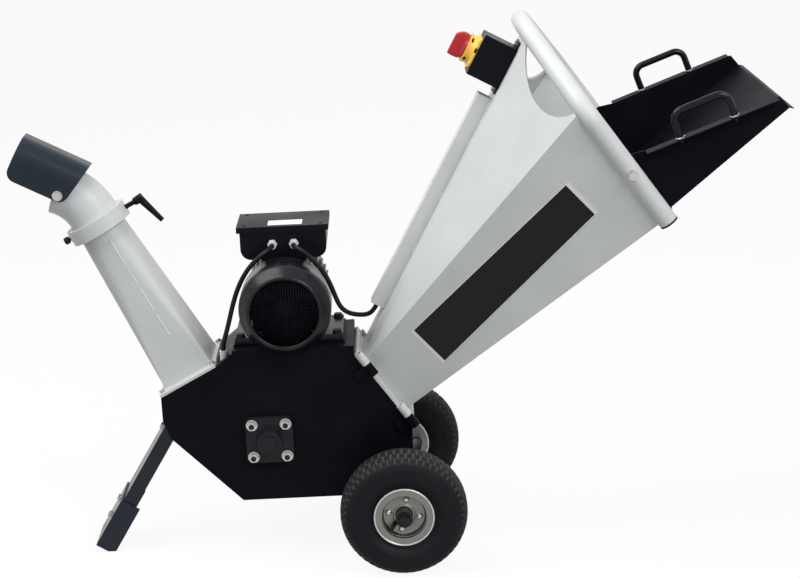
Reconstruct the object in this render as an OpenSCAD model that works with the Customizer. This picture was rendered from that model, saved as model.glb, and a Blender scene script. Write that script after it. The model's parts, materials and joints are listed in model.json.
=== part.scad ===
// Garden shredder on two wheels: a knife drum in a welded housing, driven by a belt
// from a motor on the deck, fed by a wide hopper with a tray, emptied by a swivel chute.
// Origin on the ground under the wheel axle, +X towards the tray, +Z up, near side at -Y.

/* [Wheels] */
// Outside diameter of a tyre
wheel_d = 260; // [240:5:280]
// Width of a tyre
wheel_w = 86; // [76:1:96]
// Distance between the middle planes of the two wheels
track_w = 430; // [420:5:470]
// Diameter of the rim's lip
rim_d = 124; // [112:2:140]
// Diameter of the fixed axle
axle_d = 20; // [16:1:24]

/* [Housing] */
// Width over the two side plates
body_w = 190; // [170:5:205]
// Thickness of the housing's steel plate
plate_t = 5; // [3:0.5:7]
// Height of the deck's top face above the axle
deck_rise = 320; // [305:5:335]
// Left end of the deck
deck_left = -338; // [-348:1:-330]
// Depth of the belly below the axle
belly_drop = 9; // [5:1:14]
// Left end of the flat belly
belly_left = -336; // [-350:2:-320]

/* [Feed opening] */
// Distance of the feed opening's centre from the axle, along X
feed_x = -31; // [-36:1:-26]
// Height of the feed opening's centre above the axle
feed_rise = 220.5; // [214:0.5:226]
// Slope of the feed direction above the horizontal
feed_tilt = 35; // [33:1:37]
// Length of the sloped feed face
feed_len = 198; // [190:2:206]
// Width of the throat, inside
throat_w = 144; // [120:2:150]
// Height of the throat, inside
throat_h = 129; // [110:1:134]

/* [Hopper] */
// Depth of the hopper, from the flange to the mouth
hopper_len = 654; // [600:5:700]
// Width of the mouth
mouth_w = 580; // [560:5:600]
// Height of the mouth's upright sides
mouth_side = 267; // [250:2:280]
// Rise of the mouth's bottom over the throat's bottom
mouth_rise = 61; // [50:1:70]
// Height of the mouth's ridge over its bottom
ridge_h = 402; // [390:2:410]
// Width of the ridge at the mouth
ridge_w = 120; // [110:2:140]
// Sheet thickness of hopper, chute and tray
sheet_t = 3; // [2:0.5:4]
// Outside diameter of the rim tube
rim_tube_d = 38; // [34:1:42]
// Width of a hand hole in a roof panel
hand_w = 213; // [180:1:220]
// Depth of a hand hole in a roof panel
hand_depth = 50; // [35:1:60]

/* [Tray] */
// Height of the tray's pivot above the lower end of the rim tube
pivot_rise = 119; // [115:1:125]
// Length of the tray's floor
tray_len = 304; // [280:1:320]
// Width over the tray's side walls
tray_w = 516; // [500:2:524]
// Slope of the tray's floor, over the feed direction
tray_tilt = 4; // [2:0.5:6]
// Depth of the tray's floor under its pivot
tray_drop = 110; // [106:1:112]
// Width of the flange along each side wall
tray_flange = 28; // [24:1:30]
// Diameter of a tray handle's bar
handle_d = 14; // [10:1:16]

/* [Drum] */
// Distance of the drum's axis from the axle, along X
drum_x = -272; // [-276:1:-268]
// Height of the drum's axis above the axle
drum_rise = 126; // [122:1:132]
// Diameter of the drum
drum_d = 200; // [180:2:210]
// Diameter of the drum's shaft
shaft_d = 30; // [25:1:35]
// Distance between the bearing's bolts
bearing_pitch = 70; // [66:1:78]

/* [Motor] */
// Distance of the motor's axis from the axle, along X
motor_x = -221; // [-226:1:-216]
// Height of the motor's axis above the deck
motor_h = 96; // [92:1:104]
// Diameter of the motor's finned frame
motor_d = 168; // [150:2:176]
// Diameter of the fan cover
fan_cover_d = 188; // [180:1:192]
// Diameter of the motor's shaft
motor_shaft_d = 24; // [19:1:28]
// Pitch diameter of the motor's pulley
motor_pulley_d = 90; // [80:2:100]
// Pitch diameter of the drum's pulley
drum_pulley_d = 135; // [120:3:141]

/* [Chute] */
// Distance of the chute's foot from the axle, along X
chute_x = -433; // [-437:1:-429]
// Height of the chute's foot above the axle
chute_rise = 256; // [252:1:260]
// Lean of the chute from the vertical
chute_lean = 27.5; // [26:0.5:29]
// Length of the chute's foot along the slope
chute_foot = 132; // [128:1:136]
// Length of the chute from its foot to the collar
chute_len = 352; // [320:2:380]
// Outside diameter of the swivel elbow
elbow_d = 105; // [96:1:110]
// Bend radius of the elbow
elbow_bend = 118; // [110:1:150]
// Bend angle of the elbow
elbow_turn = 40; // [30:1:45]
// Outside diameter of the collar
collar_d = 132; // [128:1:140]
// Height of the collar
collar_h = 31; // [26:1:36]
// Length of the deflector
deflector_len = 146; // [120:2:160]

/* [Leg] */
// Width of the leg
leg_w = 100; // [80:5:120]
// Depth of the leg's channel
leg_depth = 30; // [24:1:36]
// Distance of the leg's heel from the axle, along X
foot_x = -668; // [-680:2:-656]

/* [Hidden] */
$fn = 64;

// Clearances: running fits, bolt holes, and faces that pass each other
run_gap = 0.05;
hole_gap = 0.3;
pass_gap = 0.5;
seat_gap = 0.06;
cut = 1;

// Colours of the finishes
light_paint = "#dadcd8";
black_paint = "#15161b";
zinc = "#b9bcc0";
steel = "#8d9196";
rubber = "#1d1f22";

// Heights and centres in the XZ plane
axle_z = wheel_d / 2;
deck_z = axle_z + deck_rise;
feed_c = [feed_x, axle_z + feed_rise];
chute_c = [chute_x, axle_z + chute_rise];
drum_c = [drum_x, axle_z + drum_rise];
motor_c = [motor_x, deck_z + motor_h];
side_y = body_w / 2;
inner_y = side_y - plate_t;

// Housing outline: corners of the side plates, in order
feed_up = [-sin(feed_tilt), cos(feed_tilt)];
chute_up = [cos(chute_lean), sin(chute_lean)];
feed_top = feed_c + feed_up * feed_len / 2;
feed_low = feed_c - feed_up * feed_len / 2;
chute_top = chute_c + chute_up * chute_foot / 2;
chute_low = chute_c - chute_up * chute_foot / 2;
back_drop = 52;
leg_corner = chute_low + [14, -90];
axle_drop = 30;
outline = [
    chute_top, chute_low, chute_low - [0, back_drop], leg_corner,
    [belly_left, axle_z - belly_drop], [-60, axle_z - belly_drop], [-34, axle_z - axle_drop],
    [feed_low[0] - 4, axle_z - axle_drop], feed_low, feed_top,
    [feed_top[0], deck_z - plate_t], [deck_left, deck_z - plate_t]
];

// Hopper sections: half widths and heights at the throat and at the mouth
flange_t = 6;
flange_gap = 0.3;
mouth_x = flange_t + hopper_len;
throat_half = throat_w / 2 + sheet_t;
throat_low = -throat_h / 2 - sheet_t;
throat_ridge = 9;
throat_ridge_half = 45;
mouth_half = mouth_w / 2;
mouth_low = throat_low + mouth_rise;
mouth_ridge = mouth_low + ridge_h;
ridge_low = -throat_low + throat_ridge;
ridge_tilt = atan((mouth_ridge - ridge_low) / hopper_len);

// Rim tube: a house-shaped loop in front of the mouth
rim_r = rim_tube_d / 2;
rim_wall = 2.5;
rim_bend = 60;
rim_x = mouth_x + rim_r + 2 * seat_gap;
rim_half = mouth_half - 1;
rim_low = mouth_low - 6;
rim_top = mouth_ridge + rim_r + 8;
rim_shoulder = mouth_low + mouth_side - 2;
rim_path = [
    [rim_half, rim_low], [rim_half, rim_shoulder], [throat_ridge_half, rim_top],
    [-throat_ridge_half, rim_top], [-rim_half, rim_shoulder], [-rim_half, rim_low]
];

// Hand holes: arcs that cut the roof's edge
hand_r = (hand_w * hand_w / 4 + hand_depth * hand_depth) / (2 * hand_depth);
hand_y = 175;

// Tray: heights of its flange line, its handles and its pivot
pivot_z = rim_low + pivot_rise;
pivot_d = 10;
tray_half = tray_w / 2;
tray_ear = 26;
flange_start = 46;
flange_in = 9;
flange_out = tray_len - 5;
flange_end = -tray_drop + 32;
flange_slope = atan((flange_end - flange_in) / (flange_out - flange_start));
lip_out = 6;
lip_down = 8;
handle_len = 124;
handle_rise = 58;
handle_at = 70;
handle_bend = 20;

// Hinges of the hopper: barrels welded along the near edge of the feed face
hinge_r = 9;
hinge_pin_r = 5;
hinge_y = -side_y - hinge_r;
hinge_h = 28;
hinge_spots = [40, -101];

// Switch on the ridge
box_at = 661;
box_l = 87;
box_w = 76;
box_h = 72;
ear_t = 4;
ear_l = 14;
bezel_d = 64;
bezel_h = 22;
knob_d = 44;
knob_h = 29;
channel_w = 36;
channel_h = 30;
channel_start = 99;
channel_end = 590;

// Drum, bearings and belt drive
drum_half = 77;
drum_recess = 55;
shaft_r = shaft_d / 2;
bearing_t = 12;
bearing_boss_r = 25;
bearing_boss_h = 32;
bearing_bolt = 12;
knife_seat = 80;
knife_t = 10;
knife_l = 78;
knife_top = 58;
anvil_gap = 3;
anvil_t = 12;
anvil_depth = 40;
anvil_turn = 39;
belt_y = 146;
pulley_w = 26;
belt_t = 6;
belt_w = 20;
guard_gap = 26;
guard_t = 2;
guard_y = 124;
guard_end = 172;

// Motor
frame_front = -100;
frame_back = 118;
fin_h = 7;
fin_count = 36;
bell_t = 12;
cover_front = -170;
cover_back = -72;
cover_t = 2.5;
grille_r = 72;
foot_half = 112;
foot_t = 12;
foot_bolt_x = 100;
foot_bolt_y = 58;
slide_t = 6;
tbox_w = 176;
tbox_h = 58;
tbox_front = -60;
tbox_back = 52;
tbox_rise = 86;
lid_h = 12;
lid_over = 6;
gland_x = [-22, 22];
gland_z = 32;
gland_r = 10;
gland_l = 16;

// Chute, elbow and deflector
duct_x = 56;
duct_y = 62;
duct_top_r = 50;
elbow_r = elbow_d / 2;
elbow_wall = 2.5;
collar_seat = 3;
elbow_start = chute_len + collar_seat + 0.3;
elbow_straight = collar_h + 2;
elbow_tail = 10;
deflector_t = 2.5;
deflector_half = elbow_r + 5;
deflector_top = 74;
deflector_drop = 12;
deflector_back = 34;
deflector_bend = 46;
deflector_tilt = 5.5;
deflector_bolt = 10;
lever_x = 101;
lever_drop = 62;
lever_out = 16;

// Leg
leg_t = 4;
leg_top = leg_corner + [-12, 19];
leg_lean = atan((leg_top[0] - foot_x) / leg_top[1]);
shoe_l = 118;
shoe_depth = leg_depth + 10;
shoe_trim = 6;
shoe_end = -(leg_top[1] - shoe_depth * sin(leg_lean) + shoe_trim) / cos(leg_lean);
pad_l = 26;

// Wheels
hub_half = 45;
hub_r = 16;
lip_half = 36;
lip_t = 4;
barrel_r = rim_d / 2 - 12;
tyre_r = wheel_d / 2;
carcass_t = 9;

// Cables: hand-laid routes from the glands on the terminal box
cable_d = 10;
gland_tip = tbox_front - gland_l;
gland_top = motor_c[1] + tbox_rise + gland_z;
motor_cable_route = [
    [motor_x - 22, gland_tip, gland_top], [motor_x - 22, gland_tip - 10, gland_top],
    [-256, -102, 658], [-282, -112, 640], [-305, -114, 610], [-321, -111, 575],
    [-332, -103, 540], [-341, -92, 508], [-350, -81, 480], [-356, -73, 462],
    [-358, -70, 452], [-358, -70, 445]
];
switch_cable_route = [
    [motor_x + 22, gland_tip, gland_top], [motor_x + 22, gland_tip - 10, gland_top],
    [-182, -104, 660], [-160, -112, 642], [-140, -113, 616], [-126, -110, 584],
    [-118, -100, 554], [-110, -84, 528], [-94, -64, 510], [-74, -44, 500],
    [-56, -24, 494], [-46, -9, 497], [-37, -2, 508], [-23, 0, 532]
];

// Plate in the XZ plane, from y0 over a thickness
module xz(y0, t) {
    translate([0, y0 + t, 0]) rotate([90, 0, 0]) linear_extrude(t) children();
}

// Plate in the YZ plane, from x0 over a thickness
module yz(x0, t) {
    translate([x0, 0, 0]) rotate([90, 0, 90]) linear_extrude(t) children();
}

// Places children at a point of the XZ plane, at depth y
module at(p, y = 0) {
    translate([p[0], y, p[1]]) children();
}

// Turns children's +Z towards the near side (-Y) or the far side (+Y)
module facing(side) {
    rotate([-90 * side, 0, 0]) children();
}

// Round bar along Y
module bar_y(r, y0, y1) {
    translate([0, y0, 0]) rotate([-90, 0, 0]) cylinder(r = r, h = y1 - y0);
}

// Local frames: X out of the feed face, Z up the slope
module in_feed() {
    at(feed_c) rotate([0, -feed_tilt, 0]) children();
}

// X along the ridge towards the mouth, Z out of the ridge
module in_ridge() {
    in_feed() translate([flange_t, 0, ridge_low]) rotate([0, -ridge_tilt, 0])
        translate([0, 0, seat_gap]) children();
}

// X along the tray's floor, origin at the pivot
module in_tray() {
    in_feed() translate([rim_x, 0, pivot_z]) rotate([0, -tray_tilt, 0]) children();
}

// Z along the chute, X up its foot's slope
module in_chute() {
    at(chute_c) rotate([0, -chute_lean, 0]) children();
}

// Z out of the elbow, X over it
module in_outlet() {
    in_chute() translate([-elbow_bend, 0, elbow_start + elbow_straight])
        rotate([0, -elbow_turn, 0]) translate([elbow_bend, 0, 0]) children();
}

// Z up the leg, X from its outer face inwards
module in_leg() {
    at(leg_top) rotate([0, leg_lean, 0]) children();
}

// Hexagon bolt seated at z = 0 on a washer, shank below
module bolt(d, grip) {
    cylinder(d = 2.1 * d, h = 0.18 * d);
    cylinder(d = 1.75 * d, h = 0.8 * d, $fn = 6);
    translate([0, 0, -grip]) cylinder(d = d, h = grip + 0.2 * d);
}

// Direction, turn and tangent length at the corners of a flat path
function heading(p, i) = atan2(p[i + 1][1] - p[i][1], p[i + 1][0] - p[i][0]);
function wrapped(a) = a > 180 ? a - 360 : a < -180 ? a + 360 : a;
function turn(p, i) = wrapped(heading(p, i) - heading(p, i - 1));
function corner(p, i, bend) =
    i <= 0 || i >= len(p) - 1 ? 0 : bend * tan(abs(turn(p, i)) / 2);
function unit(a) = [cos(a), sin(a)];

// Round bar along a flat path with equal bends, hollow when it has a wall.
// The straights lap over the bends by a hair, so that the two fuse.
lap = 0.5;
lap_grow = 0.05;
module bar_section(r, wall, grow = 0) {
    difference() {
        circle(r = r + grow);
        if (wall > 0) circle(r = r - wall - grow);
    }
}

module bent_bar(path, r, bend, wall = 0) {
    last = len(path) - 2;
    for (i = [0 : last]) {
        a = heading(path, i);
        start = path[i] + unit(a) * (corner(path, i, bend) - (i > 0 ? lap : 0));
        stop = path[i + 1] - unit(a) * (corner(path, i + 1, bend) - (i < last ? lap : 0));
        translate([start[0], start[1], 0]) rotate([0, 90, a])
            linear_extrude(norm(stop - start)) bar_section(r, wall, lap_grow);
    }
    for (i = [1 : len(path) - 2]) {
        a = heading(path, i - 1);
        t = turn(path, i);
        side = t > 0 ? 1 : -1;
        from = path[i] - unit(a) * corner(path, i, bend);
        c = from + unit(a + 90 * side) * bend;
        translate([c[0], c[1], 0]) rotate([0, 0, t > 0 ? a - 90 : a + 90 + t])
            rotate_extrude(angle = abs(t)) translate([bend, 0]) bar_section(r, wall);
    }
}

// Round tube swept through the points of a route, one ring a point
cable_sides = 8;
function ahead(p, i) = p[min(i + 1, len(p) - 1)] - p[max(i - 1, 0)];
function ring(p, i, r) =
    let (t = ahead(p, i) / norm(ahead(p, i)), u0 = cross(t, [1, 0, 0.3]), u = u0 / norm(u0), v = cross(t, u))
    [for (k = [0 : cable_sides - 1]) p[i] + r * (u * cos(360 * k / cable_sides) + v * sin(360 * k / cable_sides))];
module cable(route, r) {
    n = len(route);
    points = [for (i = [0 : n - 1]) each ring(route, i, r)];
    walls = [
        for (i = [0 : n - 2], k = [0 : cable_sides - 1])
            let (a = i * cable_sides + k, b = i * cable_sides + (k + 1) % cable_sides)
            each [[a, a + cable_sides, b], [b, a + cable_sides, b + cable_sides]]
    ];
    first = [for (k = [0 : cable_sides - 1]) k];
    last = [for (k = [cable_sides - 1 : -1 : 0]) (n - 1) * cable_sides + k];
    polyhedron(points, concat(walls, [first], [last]));
}

// Housing

module housing_outline() {
    polygon(outline);
}

module bearing_spots() {
    for (x = [-1, 1], z = [-1, 1])
        at(drum_c + [x, z] * bearing_pitch / 2) children();
}

module side_plate(y0) {
    difference() {
        xz(y0, plate_t) housing_outline();
        at([0, axle_z]) bar_y(axle_d / 2 + run_gap, y0 - cut, y0 + plate_t + cut);
        at(drum_c) bar_y(shaft_r + 8, y0 - cut, y0 + plate_t + cut);
        bearing_spots() bar_y(bearing_bolt / 2 + hole_gap, y0 - cut, y0 + plate_t + cut);
    }
}

module side_plate_near() {
    color(black_paint) side_plate(-side_y);
}

module side_plate_far() {
    color(black_paint) side_plate(inner_y);
}

module throat_cut(x0, t) {
    yz(x0, t) square([throat_w, throat_h], center = true);
}

module housing_wrap() {
    color(black_paint) {
        difference() {
            xz(-inner_y, 2 * inner_y) difference() {
                housing_outline();
                offset(delta = -plate_t) housing_outline();
            }
            in_feed() throat_cut(-3 * plate_t, 6 * plate_t);
            in_chute() translate([-duct_x + sheet_t, -duct_y + sheet_t, -3 * plate_t])
                cube([2 * (duct_x - sheet_t), 2 * (duct_y - sheet_t), 6 * plate_t]);
            translate([deck_left + 6, -side_y, deck_z - 2 * plate_t - cut])
                cube([feed_top[0] - deck_left - 12, body_w, 2 * plate_t]);
        }
        leg_bracket();
    }
}

module deck_plate() {
    color(black_paint) difference() {
        translate([deck_left, -side_y, deck_z - plate_t])
            cube([feed_top[0] - deck_left, body_w, plate_t]);
        foot_spots() translate([0, 0, deck_z - plate_t - cut])
            cylinder(r = 5 + hole_gap, h = plate_t + 2 * cut);
    }
}

// Plate that leads the feed down to the drum
floor_from = feed_c + feed_up * (-throat_h / 2 - 8) - [cos(feed_tilt), sin(feed_tilt)] * (plate_t + 2);
anvil_out = drum_d / 2 + 7 + anvil_gap + anvil_depth;
floor_to = drum_c + anvil_out * [cos(anvil_turn), -sin(anvil_turn)] + [9, 4];
module feed_floor() {
    floor_tilt = atan2(floor_to[1] - floor_from[1], floor_to[0] - floor_from[0]);
    color(black_paint) at(floor_from) rotate([0, -floor_tilt, 0])
        translate([0, -inner_y, -plate_t / 2]) cube([norm(floor_to - floor_from), 2 * inner_y, plate_t]);
}

module anvil() {
    color(steel) at(drum_c) rotate([0, anvil_turn, 0])
        translate([anvil_out - anvil_depth, -inner_y, -anvil_t / 2]) cube([anvil_depth, 2 * inner_y, anvil_t]);
}

// Bearings and drum

module bearing(side) {
    y0 = side_y * side;
    difference() {
        union() {
            at(drum_c, y0) facing(side) linear_extrude(bearing_t) hull() {
                for (x = [-1, 1], z = [-1, 1])
                    translate([x, z] * bearing_pitch / 2) circle(r = bearing_bolt + 2, $fn = 32);
            }
            at(drum_c, y0) facing(side) cylinder(r = bearing_boss_r, h = bearing_boss_h);
        }
        at(drum_c) bar_y(shaft_r + run_gap, -2 * side_y, 2 * side_y);
        bearing_spots() bar_y(bearing_bolt / 2 + hole_gap, -2 * side_y, 2 * side_y);
    }
}

module bearing_near() {
    color(black_paint) bearing(-1);
}

module bearing_far() {
    color(black_paint) bearing(1);
}

// Bolts from inside the housing, with the nuts and washers outside
module bearing_bolts() {
    stack = plate_t + bearing_t;
    color(zinc) for (side = [-1, 1]) bearing_spots() translate([0, side * inner_y, 0]) facing(side) {
        translate([0, 0, -bearing_bolt / 2]) cylinder(d = 1.6 * bearing_bolt, h = bearing_bolt / 2);
        cylinder(d = bearing_bolt, h = stack + 1.1 * bearing_bolt);
        translate([0, 0, stack]) cylinder(d = 2 * bearing_bolt, h = 2);
        translate([0, 0, stack]) cylinder(d = 1.7 * bearing_bolt, h = 0.85 * bearing_bolt, $fn = 6);
    }
}

shaft_near = -side_y - bearing_boss_h - 4;
shaft_far = belt_y + pulley_w / 2 + 6;
module drum_shaft() {
    color(steel) at(drum_c) bar_y(shaft_r, shaft_near, shaft_far);
}

module knife_seats() {
    for (a = [0, 180]) at(drum_c) rotate([0, a, 0]) children();
}

module drum() {
    color("#3c3f45") difference() {
        at(drum_c) bar_y(drum_d / 2, -drum_half, drum_half);
        at(drum_c) bar_y(shaft_r, -drum_half - cut, drum_half + cut);
        for (side = [-1, 1]) at(drum_c, side * drum_half) facing(side) translate([0, 0, -drum_recess])
            rotate_extrude() translate([shaft_r + 16, 0]) square([25, drum_recess + cut]);
        knife_seats() translate([knife_seat, -drum_half - cut, knife_top - knife_l])
            cube([drum_d, 2 * drum_half + 2 * cut, knife_l]);
        knife_seats() for (y = [-45, 45]) translate([knife_seat - 20, y, knife_top - knife_l / 2])
            rotate([0, 90, 0]) cylinder(d = 10, h = 30);
    }
}

module knives() {
    color("#c3c7cc") knife_seats() difference() {
        translate([knife_seat, -drum_half + 2, knife_top - knife_l]) cube([knife_t, 2 * drum_half - 4, knife_l]);
        for (y = [-45, 45]) translate([knife_seat - cut, y, knife_top - knife_l / 2])
            rotate([0, 90, 0]) cylinder(d = 10, h = knife_t + 2 * cut);
    }
}

module knife_bolts() {
    color(zinc) knife_seats() for (y = [-45, 45])
        translate([knife_seat + knife_t, y, knife_top - knife_l / 2]) rotate([0, 90, 0]) {
            cylinder(d = 17, h = 6, $fn = 6);
            translate([0, 0, -knife_t - 20]) cylinder(d = 10, h = knife_t + 21);
        }
}

// Flanged pulley for a flat ribbed belt, on a shaft along Y
module pulley(pitch_d, bore_r) {
    seat = pitch_d / 2 - belt_t / 2;
    lip = pitch_d / 2 + 4;
    half = pulley_w / 2;
    wall = 2;
    rotate([-90, 0, 0]) rotate_extrude() polygon([
        [bore_r, -half], [lip, -half], [lip, -half + wall], [seat, -half + wall],
        [seat, half - wall], [lip, half - wall], [lip, half], [bore_r, half]
    ]);
}

module drum_pulley() {
    color("#34373c") at(drum_c, belt_y) pulley(drum_pulley_d, shaft_r);
}

// Belt drive on the far side

module belt_loop(grow) {
    hull() {
        translate(motor_c) circle(r = motor_pulley_d / 2 + grow);
        translate(drum_c) circle(r = drum_pulley_d / 2 + grow);
    }
}

module belt() {
    inside = hole_gap - belt_t / 2;
    color(rubber) xz(belt_y - belt_w / 2, belt_w) difference() {
        belt_loop(inside + belt_t);
        belt_loop(inside);
    }
}

module guard_spots() {
    for (a = [200, 270, 340]) at(drum_c + (drum_pulley_d / 2 + 13.5) * unit(a)) children();
}

module belt_guard() {
    color(black_paint) difference() {
        xz(guard_y, guard_end - guard_y) belt_loop(guard_gap);
        xz(guard_y - cut, guard_end - guard_t - guard_y + cut) belt_loop(guard_gap - guard_t);
        guard_spots() bar_y(4 + hole_gap, guard_y, guard_end + cut);
    }
}

module guard_posts() {
    color(zinc) guard_spots() {
        bar_y(7, side_y, guard_end - guard_t);
        translate([0, guard_end, 0]) facing(1) bolt(8, 20);
    }
}

// Motor

module foot_spots() {
    for (x = [-1, 1], y = [-1, 1])
        translate([motor_x + x * foot_bolt_x, y * foot_bolt_y, 0]) children();
}

module motor_slide() {
    color(black_paint) difference() {
        translate([motor_x - foot_half - 3, -70, deck_z]) cube([2 * foot_half + 6, 155, slide_t]);
        foot_spots() translate([0, 0, deck_z - cut]) cylinder(r = 5 + hole_gap, h = slide_t + 2 * cut);
    }
}

module motor_frame() {
    r = motor_d / 2;
    foot_z = deck_z + slide_t;
    color(black_paint) difference() {
        union() {
            at(motor_c) bar_y(r - fin_h, frame_front, frame_back);
            at(motor_c) for (k = [0 : fin_count - 1]) rotate([0, 360 * k / fin_count, 0])
                translate([0, frame_front + 30, -1.5]) cube([r, frame_back - frame_front - 50, 3]);
            for (x = [-1, 1]) translate([motor_x + x * 83, 4, foot_z + foot_t / 2])
                cube([2 * (foot_half - 83), 140, foot_t], center = true);
            for (x = [-1, 1]) translate([motor_x + x * 62, 4, foot_z + 25]) cube([22, 140, 50], center = true);
            translate([motor_x - 45, -40, motor_c[1] + 40]) cube([90, 80, tbox_rise - 40]);
        }
        at(motor_c) bar_y(56, frame_front + bell_t, frame_back - bell_t);
        at(motor_c) bar_y(motor_shaft_d / 2 + run_gap, 2 * frame_front, 2 * frame_back);
        foot_spots() translate([0, 0, deck_z]) cylinder(r = 5 + hole_gap, h = 40);
    }
}

module motor_bolts() {
    color(zinc) foot_spots() {
        translate([0, 0, deck_z + slide_t + foot_t]) bolt(10, foot_t + slide_t + plate_t + 12);
        translate([0, 0, deck_z - plate_t - 8]) cylinder(d = 17, h = 8, $fn = 6);
    }
}

module motor_shaft() {
    color(steel) at(motor_c) {
        bar_y(motor_shaft_d / 2, frame_front - 32, belt_y + pulley_w / 2 + 6);
        bar_y(50, -70, 86);
    }
}

module motor_pulley() {
    color("#34373c") at(motor_c, belt_y) pulley(motor_pulley_d, motor_shaft_d / 2);
}

module cooling_fan() {
    blade_r = fan_cover_d / 2 - 18;
    fan_back = frame_front - 6;
    color("#24262b") at(motor_c) difference() {
        union() {
            bar_y(22, fan_back - 24, fan_back);
            bar_y(blade_r, fan_back - 3, fan_back);
            for (k = [0 : 7]) rotate([0, 45 * k, 0])
                translate([15, fan_back - 24, -1.5]) cube([blade_r - 15, 22, 3]);
        }
        bar_y(motor_shaft_d / 2, fan_back - 30, fan_back + cut);
    }
}

cover_r = fan_cover_d / 2;
cover_round = cover_r - grille_r;
function cover_arc(in) = [
    for (a = [0 : 15 : 90])
        [grille_r + (cover_round - in) * cos(a), -cover_front - cover_round + (cover_round - in) * sin(a)]
];
// Slots of the grille: rings between spokes
module grille_slots() {
    difference() {
        for (r = [12 : 10 : grille_r - 10]) difference() {
            circle(r = r + 6);
            circle(r = r);
        }
        for (k = [0 : 5]) rotate(60 * k) translate([0, -2.5]) square([grille_r, 5]);
    }
}

module fan_cover() {
    color(black_paint) at(motor_c) rotate([90, 0, 0]) {
        difference() {
            rotate_extrude() polygon(concat(
                [[cover_r - cover_t, -cover_back], [cover_r, -cover_back]], cover_arc(0),
                [[0, -cover_front], [0, -cover_front - cover_t]],
                [for (i = [6 : -1 : 0]) cover_arc(cover_t)[i]]
            ));
            translate([0, 0, -cover_front - cover_t - cut]) linear_extrude(cover_t + 2 * cut) grille_slots();
        }
        for (k = [0 : 3]) rotate([0, 0, 45 + 90 * k])
            translate([motor_d / 2 - fin_h, -4, -cover_back]) cube([cover_r - cover_t / 2 - motor_d / 2 + fin_h, 8, 12]);
    }
}

tbox_z = motor_c[1] + tbox_rise;
module tbox_outline(in) {
    r = 22;
    w = tbox_w / 2 - in;
    polygon(concat(
        [[motor_x + w, tbox_z + tbox_h], [motor_x - w, tbox_z + tbox_h]],
        [for (a = [180 : 15 : 270]) [motor_x - w + r, tbox_z + in + r] + r * unit(a)],
        [for (a = [270 : 15 : 360]) [motor_x + w - r, tbox_z + in + r] + r * unit(a)]
    ));
}

module gland_spots() {
    for (x = gland_x) at([motor_x + x, tbox_z + gland_z], tbox_front) facing(-1) children();
}

module terminal_box() {
    wall = 3;
    color(black_paint) difference() {
        xz(tbox_front, tbox_back - tbox_front) tbox_outline(0);
        xz(tbox_front + wall, tbox_back - tbox_front - 2 * wall) translate([0, cut]) tbox_outline(wall);
        gland_spots() translate([0, 0, -10]) cylinder(r = 6 + hole_gap, h = 20);
    }
}

module terminal_lid() {
    color(black_paint) difference() {
        translate([motor_x - tbox_w / 2 - lid_over, tbox_front - lid_over, tbox_z + tbox_h])
            cube([tbox_w + 2 * lid_over, tbox_back - tbox_front + 2 * lid_over, lid_h]);
        for (x = [-1, 1], y = [tbox_front + 8, tbox_back - 8])
            translate([motor_x + x * (tbox_w / 2 - 10), y, tbox_z + tbox_h + lid_h - 3]) cylinder(d = 9, h = 4);
    }
}

module cable_glands() {
    end = motor_cable_route[len(motor_cable_route) - 1];
    color("#c9ccc9") {
        gland_spots() difference() {
            union() {
                translate([0, 0, -6]) cylinder(r = 6, h = 8);
                cylinder(r = gland_r, h = 7, $fn = 6);
                cylinder(r = gland_r - 2, h = gland_l);
            }
            translate([0, 0, -7]) cylinder(r = 4, h = gland_l + 6);
        }
        clear_of_housing() translate([end[0], end[1], end[2] - 40]) cylinder(r = 8, h = 40);
    }
}

// Chute, elbow and deflector

module duct(in) {
    hull() {
        translate([-duct_x + in, -duct_y + in, plate_t - (in > 0 ? cut : 0)])
            cube([2 * (duct_x - in), 2 * (duct_y - in), 0.1]);
        translate([0, 0, chute_len - 0.1 + (in > 0 ? cut : 0)])
            cylinder(r = duct_top_r - in, h = 0.1, $fn = 32);
    }
}

module chute_spots() {
    for (x = [-1, 1], y = [-1, 1]) in_chute()
        translate([x * (chute_foot / 2 - 5), y * (inner_y - 12), plate_t]) children();
}

module chute() {
    color(light_paint) in_chute() difference() {
        union() {
            translate([-chute_foot / 2, -side_y, 0]) cube([chute_foot, body_w, plate_t]);
            duct(0);
        }
        duct(sheet_t);
        translate([-duct_x + sheet_t, -duct_y + sheet_t, -cut])
            cube([2 * (duct_x - sheet_t), 2 * (duct_y - sheet_t), plate_t + cut + 0.5]);
    }
}

// Foot bolts, and the stop screw in the collar
module chute_bolts() {
    color(zinc) {
        chute_spots() cylinder(d = 12, h = 6, $fn = 6);
        in_chute() translate([-collar_d / 2, 0, chute_len + collar_h / 2]) rotate([0, -90, 0]) {
            translate([0, 0, -9]) cylinder(r = 4, h = 16);
            translate([0, 0, 6]) cylinder(r = 7, h = 9);
        }
    }
}

module collar() {
    color(light_paint) in_chute() translate([0, 0, chute_len]) difference() {
        cylinder(d = collar_d, h = collar_h);
        translate([0, 0, -cut]) cylinder(r = duct_top_r - sheet_t, h = collar_h);
        translate([0, 0, collar_seat]) cylinder(r = elbow_r + hole_gap, h = collar_h);
        translate([collar_d / 4, 0, collar_h / 2]) rotate([0, 90, 0]) cylinder(r = 5 + run_gap, h = collar_d);
        translate([-collar_d / 4, 0, collar_h / 2]) rotate([0, -90, 0]) cylinder(r = 4 + hole_gap, h = collar_d);
    }
}

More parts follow.
